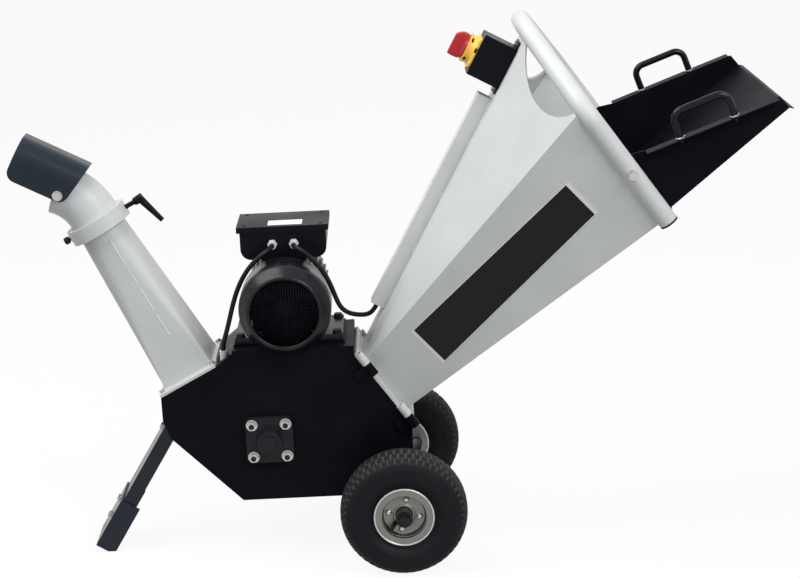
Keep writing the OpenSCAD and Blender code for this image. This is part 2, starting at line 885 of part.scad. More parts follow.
module elbow() {
    color(light_paint) difference() {
        union() {
            in_chute() translate([0, 0, elbow_start])
                linear_extrude(elbow_straight + lap) bar_section(elbow_r, elbow_wall, lap_grow);
            in_chute() translate([-elbow_bend, 0, elbow_start + elbow_straight]) rotate([90, 0, 0])
                rotate_extrude(angle = elbow_turn) translate([elbow_bend, 0]) bar_section(elbow_r, elbow_wall);
            in_outlet() translate([0, 0, -lap])
                linear_extrude(elbow_tail + lap) bar_section(elbow_r, elbow_wall, lap_grow);
        }
        in_outlet() bar_y(deflector_bolt / 2 + hole_gap, -2 * elbow_r, 2 * elbow_r);
    }
}

module deflector_section(in) {
    r = deflector_bend - in;
    y = deflector_half - r - in;
    top = deflector_top - r - in;
    hull() {
        for (side = [-1, 1]) translate([top, side * y]) circle(r = r, $fn = 48);
        translate([-2 * deflector_top, -y - r]) square([deflector_top, 2 * (y + r)]);
    }
}

module deflector() {
    lowest = -deflector_drop;
    round = 20;
    front = deflector_len - deflector_back;
    color("#232833") in_outlet() rotate([0, deflector_tilt, 0]) difference() {
        intersection() {
            translate([0, 0, -deflector_back]) linear_extrude(deflector_len) difference() {
                deflector_section(0);
                deflector_section(deflector_t);
            }
            rotate([90, 0, 0]) translate([0, 0, -2 * deflector_half]) linear_extrude(4 * deflector_half) hull() {
                for (z = [-deflector_back * 0.6 + round, front - round])
                    translate([lowest + round, z]) circle(r = round, $fn = 32);
                translate([deflector_top, -deflector_back]) square([1, deflector_len]);
            }
        }
        bar_y(deflector_bolt / 2 + run_gap, -2 * deflector_half, 2 * deflector_half);
    }
}

module deflector_bolts() {
    color(zinc) in_outlet() for (side = [-1, 1]) translate([0, side * (deflector_half + pass_gap), 0])
        facing(side) bolt(deflector_bolt, deflector_half - elbow_r + elbow_wall + 6);
}

module clamp_lever() {
    color(black_paint) in_chute() translate([0, 0, chute_len + collar_h / 2]) {
        translate([collar_d / 2 - 10, 0, 0]) rotate([0, 90, 0]) cylinder(r = 5, h = lever_x - collar_d / 2 + 4);
        translate([lever_x - 14, 0, 0]) rotate([0, 90, 0]) cylinder(r1 = 8, r2 = 10, h = 20);
        translate([lever_x, 0, 0]) rotate([0, 180 - atan(lever_out / lever_drop), 0])
            cylinder(r1 = 8, r2 = 5, h = norm([lever_out, lever_drop]));
    }
}

// Leg

module leg_channel(x0, half, depth, t, z0, z1) {
    translate([x0, -half, z0]) cube([t, 2 * half, z1 - z0]);
    for (y = [-half, half - t]) translate([x0, y, z0]) cube([depth, t, z1 - z0]);
}

module clear_of_housing() {
    difference() {
        children();
        xz(-side_y, body_w) housing_outline();
    }
}

module leg_bolt_spots() {
    for (z = [shoe_end + shoe_l - 18, shoe_end + shoe_l - 62])
        in_leg() translate([-leg_t, 0, z]) rotate([0, -90, 0]) children();
}

module leg() {
    color(black_paint) clear_of_housing() difference() {
        in_leg() leg_channel(0, leg_w / 2, leg_depth, leg_t, shoe_end + pad_l + 4, 40);
        leg_bolt_spots() translate([0, 0, -20]) cylinder(r = 4 + hole_gap, h = 40);
        in_leg() translate([leg_t, 0, -28]) rotate([0, -90, 0]) cylinder(r = 4 + hole_gap, h = 20);
    }
}

module leg_bracket() {
    clear_of_housing() in_leg() difference() {
        translate([leg_t, -leg_w / 2 + leg_t, -58]) cube([leg_depth - 8, leg_w - 2 * leg_t, 90]);
        translate([leg_t - cut, 0, -28]) rotate([0, 90, 0]) cylinder(r = 4 + hole_gap, h = 16);
    }
}

module leg_shoe() {
    color(black_paint) difference() {
        in_leg() leg_channel(-leg_t, leg_w / 2 + leg_t, shoe_depth + leg_t, leg_t, shoe_end, shoe_end + shoe_l);
        leg_bolt_spots() translate([0, 0, -20]) cylinder(r = 4 + hole_gap, h = 40);
        translate([foot_x - 50, -leg_w, -100 + 1.5]) cube([200, 2 * leg_w, 100]);
    }
}

module leg_pad() {
    color(rubber) difference() {
        in_leg() translate([0, -leg_w / 2, shoe_end]) cube([shoe_depth, leg_w, pad_l]);
        translate([foot_x - 50, -leg_w, -100]) cube([200, 2 * leg_w, 100]);
    }
}

module leg_bolts() {
    color(zinc) {
        leg_bolt_spots() {
            bolt(8, 2 * leg_t + 8);
            translate([0, 0, -2 * leg_t - 6]) cylinder(d = 14, h = 6, $fn = 6);
        }
        in_leg() translate([0, 0, -28]) rotate([0, -90, 0]) bolt(8, leg_t + 12);
    }
}

// Axle and wheels

module axle() {
    end = track_w / 2 + hub_half + 12;
    color(steel) at([0, axle_z]) difference() {
        bar_y(axle_d / 2, -end, end);
        for (side = [-1, 1]) translate([0, side * (end - 5), -axle_d]) cylinder(r = 2 + hole_gap, h = 2 * axle_d);
    }
}

module axle_ring(r, y0, y1) {
    for (side = [-1, 1]) mirror([0, side > 0 ? 0 : 1, 0]) at([0, axle_z]) difference() {
        bar_y(r, y0, y1);
        bar_y(axle_d / 2 + run_gap, y0 - cut, y1 + cut);
    }
}

// Bushes on the housing, spacers, washers and cotter pins
module axle_fittings() {
    outside = track_w / 2 + hub_half;
    color(zinc) {
        axle_ring(axle_d / 2 + 8, side_y, side_y + 12);
        axle_ring(axle_d / 2 + 4, side_y + 11, track_w / 2 - hub_half - pass_gap);
        axle_ring(axle_d / 2 + 7, outside + pass_gap, outside + 3);
        for (side = [-1, 1]) translate([0, side * (outside + 7), axle_z - axle_d / 2 - 6])
            cylinder(r = 2, h = axle_d + 12);
    }
}

function bulge(a, in) =
    let (c = cos(a), s = sin(a), mid = (rim_d / 2 + tyre_r) / 2)
    [mid + (tyre_r - mid - in) * sign(s) * pow(abs(s), 0.75), (wheel_w / 2 - in) * sign(c) * pow(abs(c), 0.75)];

module tyre(y) {
    bead = lip_half - lip_t;
    bead_top = rim_d / 2 + pass_gap;
    color(rubber) at([0, axle_z], y) rotate([-90, 0, 0]) rotate_extrude() polygon(concat(
        [[barrel_r, bead], [bead_top, bead]], [for (a = [-42 : 12 : 222]) bulge(a, 0)],
        [[bead_top, -bead], [barrel_r, -bead], [barrel_r, carcass_t - bead]],
        [for (a = [222 : -12 : -42]) bulge(a, carcass_t)], [[barrel_r, bead - carcass_t]]
    ));
}

module tyre_near() {
    tyre(-track_w / 2);
}

module tyre_far() {
    tyre(track_w / 2);
}

module rim_bolt_spots(y) {
    for (k = [0 : 3]) at([0, axle_z], y) rotate([0, 90 * k + 10, 0]) translate([33, 0, 0]) children();
}

module rim(y, side) {
    color(zinc) {
        at([0, axle_z], y) rotate([-90, 0, 0]) rotate_extrude() {
            translate([axle_d / 2 + run_gap, -hub_half]) square([hub_r - axle_d / 2 - run_gap, 2 * hub_half]);
            translate([hub_r - cut, -3]) square([barrel_r - hub_r, 6]);
            translate([barrel_r - lip_t, -lip_half]) square([lip_t, 2 * lip_half]);
            for (s = [-lip_half, lip_half - lip_t])
                translate([barrel_r - cut, s]) square([rim_d / 2 - barrel_r + cut, lip_t]);
        }
        rim_bolt_spots(y) translate([0, side * 3, 0]) facing(side) {
            bolt(8, 13);
            translate([0, 0, -12]) cylinder(d = 13, h = 6, $fn = 6);
        }
    }
}

module rim_near() {
    rim(-track_w / 2, -1);
}

module rim_far() {
    rim(track_w / 2, 1);
}

// Hopper

module throat_section(in) {
    polygon([
        [-throat_half + in, throat_low + in], [throat_half - in, throat_low + in],
        [throat_half - in, -throat_low - in], [throat_ridge_half, ridge_low - in],
        [-throat_ridge_half, ridge_low - in], [-throat_half + in, -throat_low - in]
    ]);
}

module mouth_section(in) {
    shoulder = mouth_low + mouth_side;
    polygon([
        [-mouth_half + in, mouth_low + in], [mouth_half - in, mouth_low + in],
        [mouth_half - in, shoulder - in], [ridge_w / 2, mouth_ridge - in],
        [-ridge_w / 2, mouth_ridge - in], [-mouth_half + in, shoulder - in]
    ]);
}

module hopper_form(in) {
    over = in > 0 ? cut : 0;
    hull() {
        yz(flange_t - over, 0.1) throat_section(in);
        yz(mouth_x - 0.1 + over, 0.1) mouth_section(in);
    }
}

module hopper_shell() {
    half = side_y - pass_gap;
    color(light_paint) difference() {
        in_feed() {
            difference() {
                union() {
                    hopper_form(0);
                    translate([flange_gap, -half, -feed_len / 2 + 1])
                        cube([flange_t - flange_gap, 2 * half, feed_len - 2]);
                }
                hopper_form(sheet_t);
                throat_cut(-cut, flange_t + 2 * cut);
                for (side = [-1, 1]) translate([mouth_x + hand_r - hand_depth, side * hand_y, mouth_low + 150])
                    cylinder(r = hand_r, h = mouth_side + 100);
            }
            translate([mouth_x - 4, -tray_half, mouth_low]) cube([44, tray_w, sheet_t - cut]);
        }
        hopper_bolt_spots() translate([0, 0, -flange_t]) cylinder(r = 5 + hole_gap, h = flange_t + cut);
    }
}

module hopper_bolt_spots() {
    for (z = [-80, 80]) in_feed() translate([flange_t, inner_y - 10, z]) rotate([0, 90, 0]) children();
}

// Bolts of the hopper's flange and of the switch box's ears
module hopper_bolts() {
    color(zinc) {
        hopper_bolt_spots() bolt(10, flange_t - flange_gap);
        ear_spots() bolt(6, ear_t);
    }
}

module rim_tube() {
    color(light_paint) in_feed() difference() {
        translate([rim_x, 0, 0]) rotate([90, 0, 90]) bent_bar(rim_path, rim_r, rim_bend, rim_wall);
        for (side = [-1, 1]) translate([rim_x, side * rim_half, pivot_z])
            bar_y(pivot_d / 2 + hole_gap, -2 * rim_r, 2 * rim_r);
    }
}

module rim_caps() {
    color(rubber) in_feed() for (side = [-1, 1]) translate([rim_x, side * rim_half, rim_low]) {
        translate([0, 0, -4]) cylinder(r = rim_r, h = 4);
        cylinder(r = rim_r - rim_wall - hole_gap, h = 14);
    }
}

// Barrels of the two lift-off hinges: the upper half on the hopper, the lower half on the housing
module hinge_half(z0, r_bore) {
    in_feed() translate([hinge_r, hinge_y, 0]) for (z = hinge_spots) translate([0, 0, z + z0]) difference() {
        cylinder(r = hinge_r, h = hinge_h);
        translate([0, 0, -cut]) cylinder(r = r_bore, h = hinge_h + 2 * cut);
    }
}

module hopper_hinges() {
    color(light_paint) difference() {
        union() {
            hinge_half(hinge_h + pass_gap, hinge_pin_r + run_gap);
            in_feed() for (z = hinge_spots) translate([1, hinge_y, z + hinge_h + pass_gap])
                cube([flange_t - 1, hinge_r + pass_gap, hinge_h]);
        }
        in_feed() translate([hinge_r, hinge_y, -feed_len]) cylinder(r = hinge_pin_r + run_gap, h = 2 * feed_len);
    }
}

module housing_hinges() {
    color(black_paint) {
        hinge_half(0, hinge_pin_r);
        in_feed() for (z = hinge_spots) {
            translate([-26, hinge_y + hinge_r - 6, z]) cube([26 + hinge_r, 6, hinge_h]);
            translate([hinge_r, hinge_y, z]) cylinder(r = hinge_pin_r, h = 2 * hinge_h - 3);
        }
    }
}

module cable_channel() {
    color(light_paint) in_ridge() difference() {
        translate([channel_start, -channel_w / 2, 0]) cube([channel_end - channel_start, channel_w, channel_h]);
        translate([channel_start - cut, -channel_w / 2 + 2, -cut])
            cube([channel_end - channel_start + 2 * cut, channel_w - 4, channel_h - 2 + cut]);
    }
}

// Switch box on the ridge, with its ears towards both ends

module in_box() {
    in_ridge() translate([box_at, 0, 0]) children();
}

module ear_spots() {
    for (s = [-1, 1]) in_box() translate([s * (box_l / 2 + ear_l / 2), 0, ear_t]) children();
}

module switch_box() {
    color(black_paint) difference() {
        in_box() {
            translate([-box_l / 2, -box_w / 2, 0]) cube([box_l, box_w, box_h]);
            translate([-box_l / 2 - ear_l, -box_w / 2 + 8, 0]) cube([box_l + 2 * ear_l, box_w - 16, ear_t]);
        }
        in_box() translate([-box_l / 2 + 3, -box_w / 2 + 3, -cut]) cube([box_l - 6, box_w - 6, box_h - 3 + cut]);
        in_box() translate([0, 0, box_h - 10]) cylinder(r = 8 + run_gap, h = 20);
        ear_spots() translate([0, 0, -20]) cylinder(r = 3 + hole_gap, h = 40);
        in_box() translate([0, box_w / 2 - 10, box_h / 2]) bar_y(17 + hole_gap, 0, 20);
    }
}

module switch_bezel() {
    color("#f2b01e") in_box() translate([0, 0, box_h]) difference() {
        cylinder(d = bezel_d, h = bezel_h);
        translate([0, 0, -cut]) cylinder(r = 8 + run_gap, h = bezel_h + 2 * cut);
    }
}

module switch_knob() {
    color("#b0202a") in_box() {
        translate([0, 0, box_h - 6]) cylinder(r = 8, h = bezel_h + 10);
        translate([0, 0, box_h + bezel_h + pass_gap]) {
            cylinder(d = knob_d, h = 10);
            intersection() {
                cylinder(d1 = knob_d, d2 = knob_d - 6, h = knob_h);
                translate([-knob_d / 2, -9, 0]) cube([knob_d, 18, knob_h]);
            }
        }
    }
}

// Mains inlet on the far side of the switch box
module power_inlet() {
    color("#2b5fa8") in_box() translate([0, box_w / 2, box_h / 2]) difference() {
        union() {
            bar_y(17, -3, 30);
            bar_y(23, 0, 5);
        }
        bar_y(14, 8, 31);
    }
}

// Tray

module tray_wall(y0) {
    difference() {
        xz(y0, sheet_t) polygon([
            [1, -tray_drop], [tray_len, -tray_drop], [tray_len, flange_end - 3], [flange_out, flange_end],
            [flange_start, flange_in], [18, 24], [-12, 24], [-tray_ear, 12], [-tray_ear, -50], [-4, 12 - tray_drop]
        ]);
        bar_y(pivot_d / 2 + run_gap, y0 - cut, y0 + sheet_t + cut);
    }
}

// Frame along a flange, origin at its inner end, X along it
module on_flange(side) {
    translate([flange_start, side * tray_half, flange_in]) rotate([0, -flange_slope, 0]) children();
}

flange_len = norm([flange_out - flange_start, flange_end - flange_in]);
module feed_tray() {
    color(black_paint) in_tray() {
        xz(-tray_half, tray_w) polygon([
            [0, -tray_drop], [tray_len, -tray_drop], [tray_len + lip_out, -tray_drop - lip_down],
            [tray_len + lip_out, sheet_t - tray_drop - lip_down], [tray_len, sheet_t - tray_drop],
            [0, sheet_t - tray_drop]
        ]);
        tray_wall(-tray_half);
        tray_wall(tray_half - sheet_t);
        for (side = [-1, 1]) difference() {
            on_flange(side) translate([0, side > 0 ? -sheet_t : -tray_flange, -sheet_t])
                cube([flange_len, tray_flange + sheet_t, sheet_t]);
            handle_spots(side) translate([0, 0, -20]) cylinder(r = 3 + hole_gap, h = 40);
        }
    }
}

module handle_spots(side) {
    for (x = [handle_at, handle_at + handle_len - handle_d])
        on_flange(side) translate([x, side * tray_flange / 2, 0]) children();
}

// Bar handles, with their studs and nuts through the flanges
module tray_handles() {
    foot = handle_len - handle_d;
    top = handle_rise - handle_d / 2;
    color(black_paint) in_tray() for (side = [-1, 1]) {
        on_flange(side) translate([handle_at, side * tray_flange / 2, 0]) rotate([90, 0, 0])
            bent_bar([[0, 0], [0, top], [foot, top], [foot, 0]], handle_d / 2, handle_bend);
        handle_spots(side) {
            translate([0, 0, -sheet_t - 7]) cylinder(r = 3, h = sheet_t + 8);
            translate([0, 0, -sheet_t - 5]) cylinder(d = 11.5, h = 5, $fn = 6);
        }
    }
}

module tray_pivots() {
    head = rim_half + rim_r + pass_gap;
    inside = tray_half - sheet_t - pass_gap;
    color(zinc) in_feed() for (side = [-1, 1]) translate([rim_x, side * head, pivot_z]) facing(side) {
        bolt(pivot_d, head - inside + 10);
        translate([0, 0, inside - head - 8]) cylinder(d = 17, h = 8, $fn = 6);
        translate([0, 0, tray_half + pass_gap - head]) cylinder(d = 16, h = rim_half - rim_r - tray_half - 2 * pass_gap);
    }
}

// Cables along the machine

module motor_cable() {
    color(rubber) cable(motor_cable_route, cable_d / 2);
}

module switch_cable() {
    color(rubber) cable(switch_cable_route, cable_d / 2);
}

side_plate_near();
side_plate_far();
housing_wrap();
deck_plate();
feed_floor();
anvil();
bearing_near();
bearing_far();
bearing_bolts();
drum_shaft();
drum();
knives();
knife_bolts();
drum_pulley();
belt();
belt_guard();
guard_posts();
motor_slide();
motor_frame();
motor_bolts();
motor_shaft();
motor_pulley();
cooling_fan();
fan_cover();
terminal_box();
terminal_lid();
cable_glands();
motor_cable();
switch_cable();
chute();
chute_bolts();
collar();
elbow();
deflector();
deflector_bolts();
clamp_lever();
leg();
leg_shoe();
leg_pad();
leg_bolts();
axle();
axle_fittings();
tyre_near();
rim_near();
tyre_far();
rim_far();
hopper_shell();
hopper_bolts();
rim_tube();
rim_caps();
hopper_hinges();
housing_hinges();
cable_channel();
switch_box();
switch_bezel();
switch_knob();
power_inlet();
feed_tray();
tray_handles();
tray_pivots();
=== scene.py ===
"""Looks of a wheeled garden shredder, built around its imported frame.

Metres, +X towards the feed tray, +Y towards the belt side, +Z up, the near side at -Y.
Tables of profiles, sections and routes are in millimetres.
"""

from __future__ import annotations

import json
import logging
import math
from abc import ABC, abstractmethod
from dataclasses import dataclass
from enum import Enum

import bpy
import numpy as np
from mathutils import Matrix, Vector

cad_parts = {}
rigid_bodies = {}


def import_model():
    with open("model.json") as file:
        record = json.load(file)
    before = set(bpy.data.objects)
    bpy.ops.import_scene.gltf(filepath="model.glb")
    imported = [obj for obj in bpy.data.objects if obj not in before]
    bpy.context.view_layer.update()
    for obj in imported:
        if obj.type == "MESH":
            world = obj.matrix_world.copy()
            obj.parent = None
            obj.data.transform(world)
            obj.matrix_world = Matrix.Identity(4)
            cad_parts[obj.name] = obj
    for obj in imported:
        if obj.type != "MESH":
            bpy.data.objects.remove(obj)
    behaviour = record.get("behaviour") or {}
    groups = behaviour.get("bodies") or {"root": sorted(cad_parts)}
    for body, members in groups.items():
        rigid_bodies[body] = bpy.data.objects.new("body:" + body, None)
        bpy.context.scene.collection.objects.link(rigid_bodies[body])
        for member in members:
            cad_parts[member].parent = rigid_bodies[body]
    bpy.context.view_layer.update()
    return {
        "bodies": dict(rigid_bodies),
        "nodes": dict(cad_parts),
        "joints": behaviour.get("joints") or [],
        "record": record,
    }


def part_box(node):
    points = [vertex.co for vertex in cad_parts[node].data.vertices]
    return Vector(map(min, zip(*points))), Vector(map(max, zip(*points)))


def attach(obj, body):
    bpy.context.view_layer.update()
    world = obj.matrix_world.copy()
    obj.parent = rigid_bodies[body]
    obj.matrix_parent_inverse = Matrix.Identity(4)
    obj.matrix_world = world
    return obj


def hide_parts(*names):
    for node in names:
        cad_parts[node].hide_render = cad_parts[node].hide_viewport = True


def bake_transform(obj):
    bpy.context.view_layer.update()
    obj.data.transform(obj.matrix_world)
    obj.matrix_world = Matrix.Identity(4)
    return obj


LOG = logging.getLogger("shredder")
MM = 0.001
ACROSS = np.array([0.0, 1.0, 0.0])
Point = tuple[float, float, float]
Colour = tuple[float, float, float]
Span = tuple[float, float]
Rows = tuple[tuple[float, ...], ...]
Skin = tuple[np.ndarray, list]
Tree, Node, Socket = bpy.types.NodeTree, bpy.types.Node, bpy.types.NodeSocket

# Weld beads: share of the radius that ripples, the ripple's pitch, how far an end fades, its tip
BEAD_RIPPLE, BEAD_PITCH, BEAD_FADE, BEAD_TIP = 0.16, 3 * MM, 4 * MM, 0.02
BEAD_SIDES = 10


class Texture(Enum):
    """How a finish varies over its surface."""

    PAINT = "paint"
    METAL = "metal"
    RUBBER = "rubber"
    MOULDED = "moulded"


class Side(Enum):
    """The two sides of the machine, as the sign of Y."""

    NEAR = -1
    FAR = 1


# Mesh tools


def turns(count: int) -> np.ndarray:
    """Even angles round a full turn.

    Args:
        count: How many.

    Returns:
        Angles from 0, in radians.
    """
    return np.linspace(0, 2 * math.pi, count, endpoint=False)


def unit(vectors: np.ndarray) -> np.ndarray:
    """Vectors brought to length 1.

    Args:
        vectors: One vector, or one in each row.

    Returns:
        The same directions, of length 1.
    """
    return vectors / np.linalg.norm(vectors, axis=-1, keepdims=True)


def tube_faces(rows: int, cols: int, ring: bool = False) -> list:
    """Faces of a tube of rows rings with cols points each.

    Args:
        rows: Rings along the tube.
        cols: Points round each ring.
        ring: Whether the tube's ends meet, or else each has a face of its own.

    Returns:
        The faces, as point indices.
    """
    i, j = np.meshgrid(np.arange(rows if ring else rows - 1), np.arange(cols), indexing="ij")
    k, m = (j + 1) % cols, (i + 1) % rows
    quads = np.stack([i * cols + j, i * cols + k, m * cols + k, m * cols + j], -1)
    end = (rows - 1) * cols
    caps = [] if ring else [list(range(cols))[::-1], list(range(end, end + cols))]
    return quads.reshape(-1, 4).tolist() + caps


def outward(points: np.ndarray, faces: list) -> Skin:
    """A closed skin with its faces turned outwards, by the sign of its volume.

    Args:
        points: Points of the skin.
        faces: Its faces.

    Returns:
        The points, and the faces, reversed where the volume was negative.
    """
    fans = np.array([(f[0], f[i], f[i + 1]) for f in faces for i in range(1, len(f) - 1)])
    p = points - points.mean(0)
    a, b, c = (p[fans[:, i]] for i in range(3))
    volume = np.einsum("ij,ij->i", a, np.cross(b, c)).sum()
    return points, faces if volume > 0 else [list(f)[::-1] for f in faces]


def sweep(path: np.ndarray, radius: np.ndarray | float, sides: int) -> Skin:
    """Round tube along a path: point = path + radius (u cos a + v sin a).

    u is a fixed direction with its part along the tangent taken away, and v is tangent x u.

    Args:
        path: Points along the path.
        radius: The tube's radius, one number or one for each point.
        sides: Points round the tube.

    Returns:
        Points and faces, with both ends closed.
    """
    tangent = unit(np.gradient(path, axis=0))
    fixed = np.array([1.0, 0.13, 0.31])
    u = unit(fixed - tangent * (tangent @ fixed)[:, None])
    v = np.cross(tangent, u)
    a = turns(sides)[None, :, None]
    r = np.broadcast_to(np.asarray(radius, float), (len(path),))[:, None, None]
    rings = path[:, None] + r * (u[:, None] * np.cos(a) + v[:, None] * np.sin(a))
    return outward(rings.reshape(-1, 3), tube_faces(len(path), sides))


def smooth_path(points: np.ndarray, steps: int) -> np.ndarray:
    """Cubic B-spline that points steer, from the first to the last.

    On each stretch, with t from 0 to 1, the curve is ((1 - t)^3 p0 + (3 t^3 - 6 t^2 + 4) p1
    + (1 + 3 t + 3 t^2 - 3 t^3) p2 + t^3 p3) / 6.

    Args:
        points: The points that steer the curve.
        steps: Samples on each stretch.

    Returns:
        Points along the curve.
    """
    ends = np.vstack([2 * points[0] - points[1], points, 2 * points[-1] - points[-2]])
    t = np.linspace(0, 1, steps, endpoint=False)[:, None]
    p0, p1, p2, p3 = (ends[i : len(ends) - 3 + i, None] for i in range(4))
    before, after = 3 * t**3 - 6 * t**2 + 4, 1 + 3 * t + 3 * t**2 - 3 * t**3
    curve = ((1 - t) ** 3 * p0 + before * p1 + after * p2 + t**3 * p3) / 6
    return np.vstack([curve.reshape(-1, 3), points[-1:]])


def revolve(profile: Rows, centre: np.ndarray, axis: np.ndarray, sides: int) -> Skin:
    """Surface of revolution: point = centre + axis h + r (u cos a + v sin a).

    Args:
        profile: Pairs of radius r and height h, in order.
        centre: A point on the axis, in metres.
        axis: The axis direction, of length 1.
        sides: Points round the axis.

    Returns:
        Points and faces, with both ends closed.
    """
    r, h = MM * np.array(profile).T[:, :, None, None]
    askew = np.array([0.31, 0.17, 0.93])
    u = unit(np.cross(axis, askew))
    v = np.cross(axis, u)
    a = turns(sides)[:, None]
    points = centre + h * axis + r * (u * np.cos(a) + v * np.sin(a))
    return outward(points.reshape(-1, 3), tube_faces(len(profile), sides))


def carried_round(section: Rows | np.ndarray, centre: np.ndarray, sign: int, sides: int) -> Skin:
    """Closed section carried round a line along Y: point = centre + (r cos a, sign h, r sin a).

    Args:
        section: Pairs of radius r and offset h, in order, round a closed section.
        centre: A point on the line, in metres.
        sign: 1 or -1, which way h counts.
        sides: Points round the line.

    Returns:
        Points and faces.
    """
    a = turns(sides)[None]
    r, h = MM * np.array(section).T[:, :, None]
    points = centre + np.stack([r * np.cos(a), sign * h + 0 * a, r * np.sin(a)], -1)
    return outward(points.reshape(-1, 3), tube_faces(len(section), sides, ring=True))


def slab(under: np.ndarray, face: np.ndarray) -> Skin:
    """Plate between two outlines with as many corners.

    Args:
        under: Corners of its underside, in order.
        face: Corners of its face, in the same order.

    Returns:
        Points and faces.
    """
    return outward(np.vstack([under, face]), tube_faces(2, len(under)))


def joined(parts: list[Skin]) -> Skin:
    """Several skins as one.

    Args:
        parts: Pairs of points and faces.

    Returns:
        Points and faces of all of them.
    """
    start = np.cumsum([0] + [len(p) for p, _ in parts])
    faces = [[i + int(s) for i in f] for (_, fs), s in zip(parts, start) for f in fs]
    return np.vstack([p for p, _ in parts]), faces


def bead(path: np.ndarray, radius: float) -> Skin:
    """A weld bead: a round along a path whose radius ripples, and fades at its ends.

    Args:
        path: Points along the bead, in metres.
        radius: Its radius in millimetres.

    Returns:
        Points and faces.
    """
    run = np.concatenate([[0], np.cumsum(np.linalg.norm(np.diff(path, axis=0), axis=1))])
    ripple = 1 + BEAD_RIPPLE * np.sin(run / BEAD_PITCH * 2 * math.pi)
    fade = np.sqrt(np.clip(np.minimum(run, run[-1] - run) / BEAD_FADE, BEAD_TIP, 1))
    return sweep(path, radius * MM * ripple * fade, BEAD_SIDES)


def rounded(corners: np.ndarray, radius: float, steps: int = 5) -> np.ndarray:
    """Outline with each corner a quadratic curve between points at radius from it.

    Args:
        corners: Corners in order.
        radius: Distance from each corner to where its curve starts.
        steps: Points on each curve.

    Returns:
        Points of the outline.
    """
    a, b = (corners + radius * unit(np.roll(corners, step, 0) - corners) for step in (1, -1))
    t = np.linspace(0, 1, steps)[None, :, None]
    curve = (1 - t) ** 2 * a[:, None] + 2 * t * (1 - t) * corners[:, None] + t**2 * b[:, None]
    return curve.reshape(-1, corners.shape[1])


# Shader tools, groups and finishes


def add_node(tree: Tree, kind: str, values: dict | None = None, group: Tree | None = None) -> Node:
    """A new shader node with constants on its sockets.

    Args:
        tree: The nodes that it joins.
        kind: Its type.
        values: Constants by the name of their socket.
        group: The shared group that it stands for, if it is a group's node.

    Returns:
        The node.
    """
    node = tree.nodes.new(kind)
    if group is not None:
        node.node_tree = group
    for key, value in (values or {}).items():
        node.inputs[key].default_value = value
    return node


def ranged(tree: Tree, value: Socket, given: Span, wanted: Span = (0.0, 1.0)) -> Socket:
    """A number carried from one range to another, and held within it.

    Args:
        tree: The nodes.
        value: The number's socket.
        given: The range that it comes in.
        wanted: The range that it is carried to.

    Returns:
        The new number's socket.
    """
    names = ("From Min", "From Max", "To Min", "To Max")
    node = add_node(tree, "ShaderNodeMapRange", dict(zip(names, given + wanted)))
    tree.links.new(value, node.inputs["Value"])
    return node.outputs["Result"]


def combined(tree: Tree, operation: str, first: Socket, second: Socket) -> Socket:
    """Two numbers combined.

    Args:
        tree: The nodes.
        operation: What combines them.
        first: The first number's socket.
        second: The second number's socket.

    Returns:
        The new number's socket.
    """
    node = add_node(tree, "ShaderNodeMath")
    node.operation = operation
    for number, socket in zip((first, second), node.inputs):
        tree.links.new(number, socket)
    return node.outputs[0]


class Groups:
    """Shader node groups that the finishes share, each made once."""

    noises = {"Patch": (6.0, 4.0), "Grain": (400.0, 2.0), "Speck": (90.0, 3.0)}
    speck_cut = (0.62, 0.76)
    dust_amount = {"Amount": 0.3}
    dust_slope = (0.1, 1.0)
    dust_noise = {"Scale": 14.0, "Detail": 6.0}

    def __init__(self) -> None:
        """Makes the groups."""
        self.variation = self._variation()
        self.dust = self._dust()

    @staticmethod
    def _new(name: str, numbers: dict[str, float], outputs: list[str]) -> Tree:
        """An empty group that takes a vector and some numbers, and gives numbers.

        Args:
            name: The group's name.
            numbers: Default values of the numbers that it takes, by name.
            outputs: Names of the numbers that it gives.

        Returns:
            The group.
        """
        tree = bpy.data.node_groups.new(name, "ShaderNodeTree")
        socket = tree.interface.new_socket
        socket("Vector", in_out="INPUT", socket_type="NodeSocketVector")
        for key, value in numbers.items():
            socket(key, in_out="INPUT", socket_type="NodeSocketFloat").default_value = value
        for key in outputs:
            socket(key, in_out="OUTPUT", socket_type="NodeSocketFloat")
        tree.nodes.new("NodeGroupInput").name = "in"
        tree.nodes.new("NodeGroupOutput").name = "out"
        return tree

    def _variation(self) -> Tree:
        """Broad patches, fine grain and sparse specks from three noises."""
        scales = {f"{key} Scale": scale for key, (scale, _) in self.noises.items()}
        tree = self._new("surface_variation", scales, list(self.noises))
        link, given, out = tree.links.new, tree.nodes["in"].outputs, tree.nodes["out"].inputs
        for key, (_, detail) in self.noises.items():
            noise = add_node(tree, "ShaderNodeTexNoise", {"Detail": detail})
            link(given["Vector"], noise.inputs["Vector"])
            link(given[f"{key} Scale"], noise.inputs["Scale"])
            amount = noise.outputs["Fac"]
            link(ranged(tree, amount, self.speck_cut) if key == "Speck" else amount, out[key])
        return tree

    def _dust(self) -> Tree:
        """Dust that settles on faces that look up, broken by a noise."""
        tree = self._new("settled_dust", self.dust_amount, ["Dust"])
        link, given = tree.links.new, tree.nodes["in"].outputs
        split = add_node(tree, "ShaderNodeSeparateXYZ")
        geometry = add_node(tree, "ShaderNodeNewGeometry")
        link(geometry.outputs["Normal"], split.inputs["Vector"])
        noise = add_node(tree, "ShaderNodeTexNoise", self.dust_noise)
        link(given["Vector"], noise.inputs["Vector"])
        total = ranged(tree, split.outputs["Z"], self.dust_slope)
        for share in (noise.outputs["Fac"], given["Amount"]):
            total = combined(tree, "MULTIPLY", total, share)
        link(total, tree.nodes["out"].inputs["Dust"])
        return tree


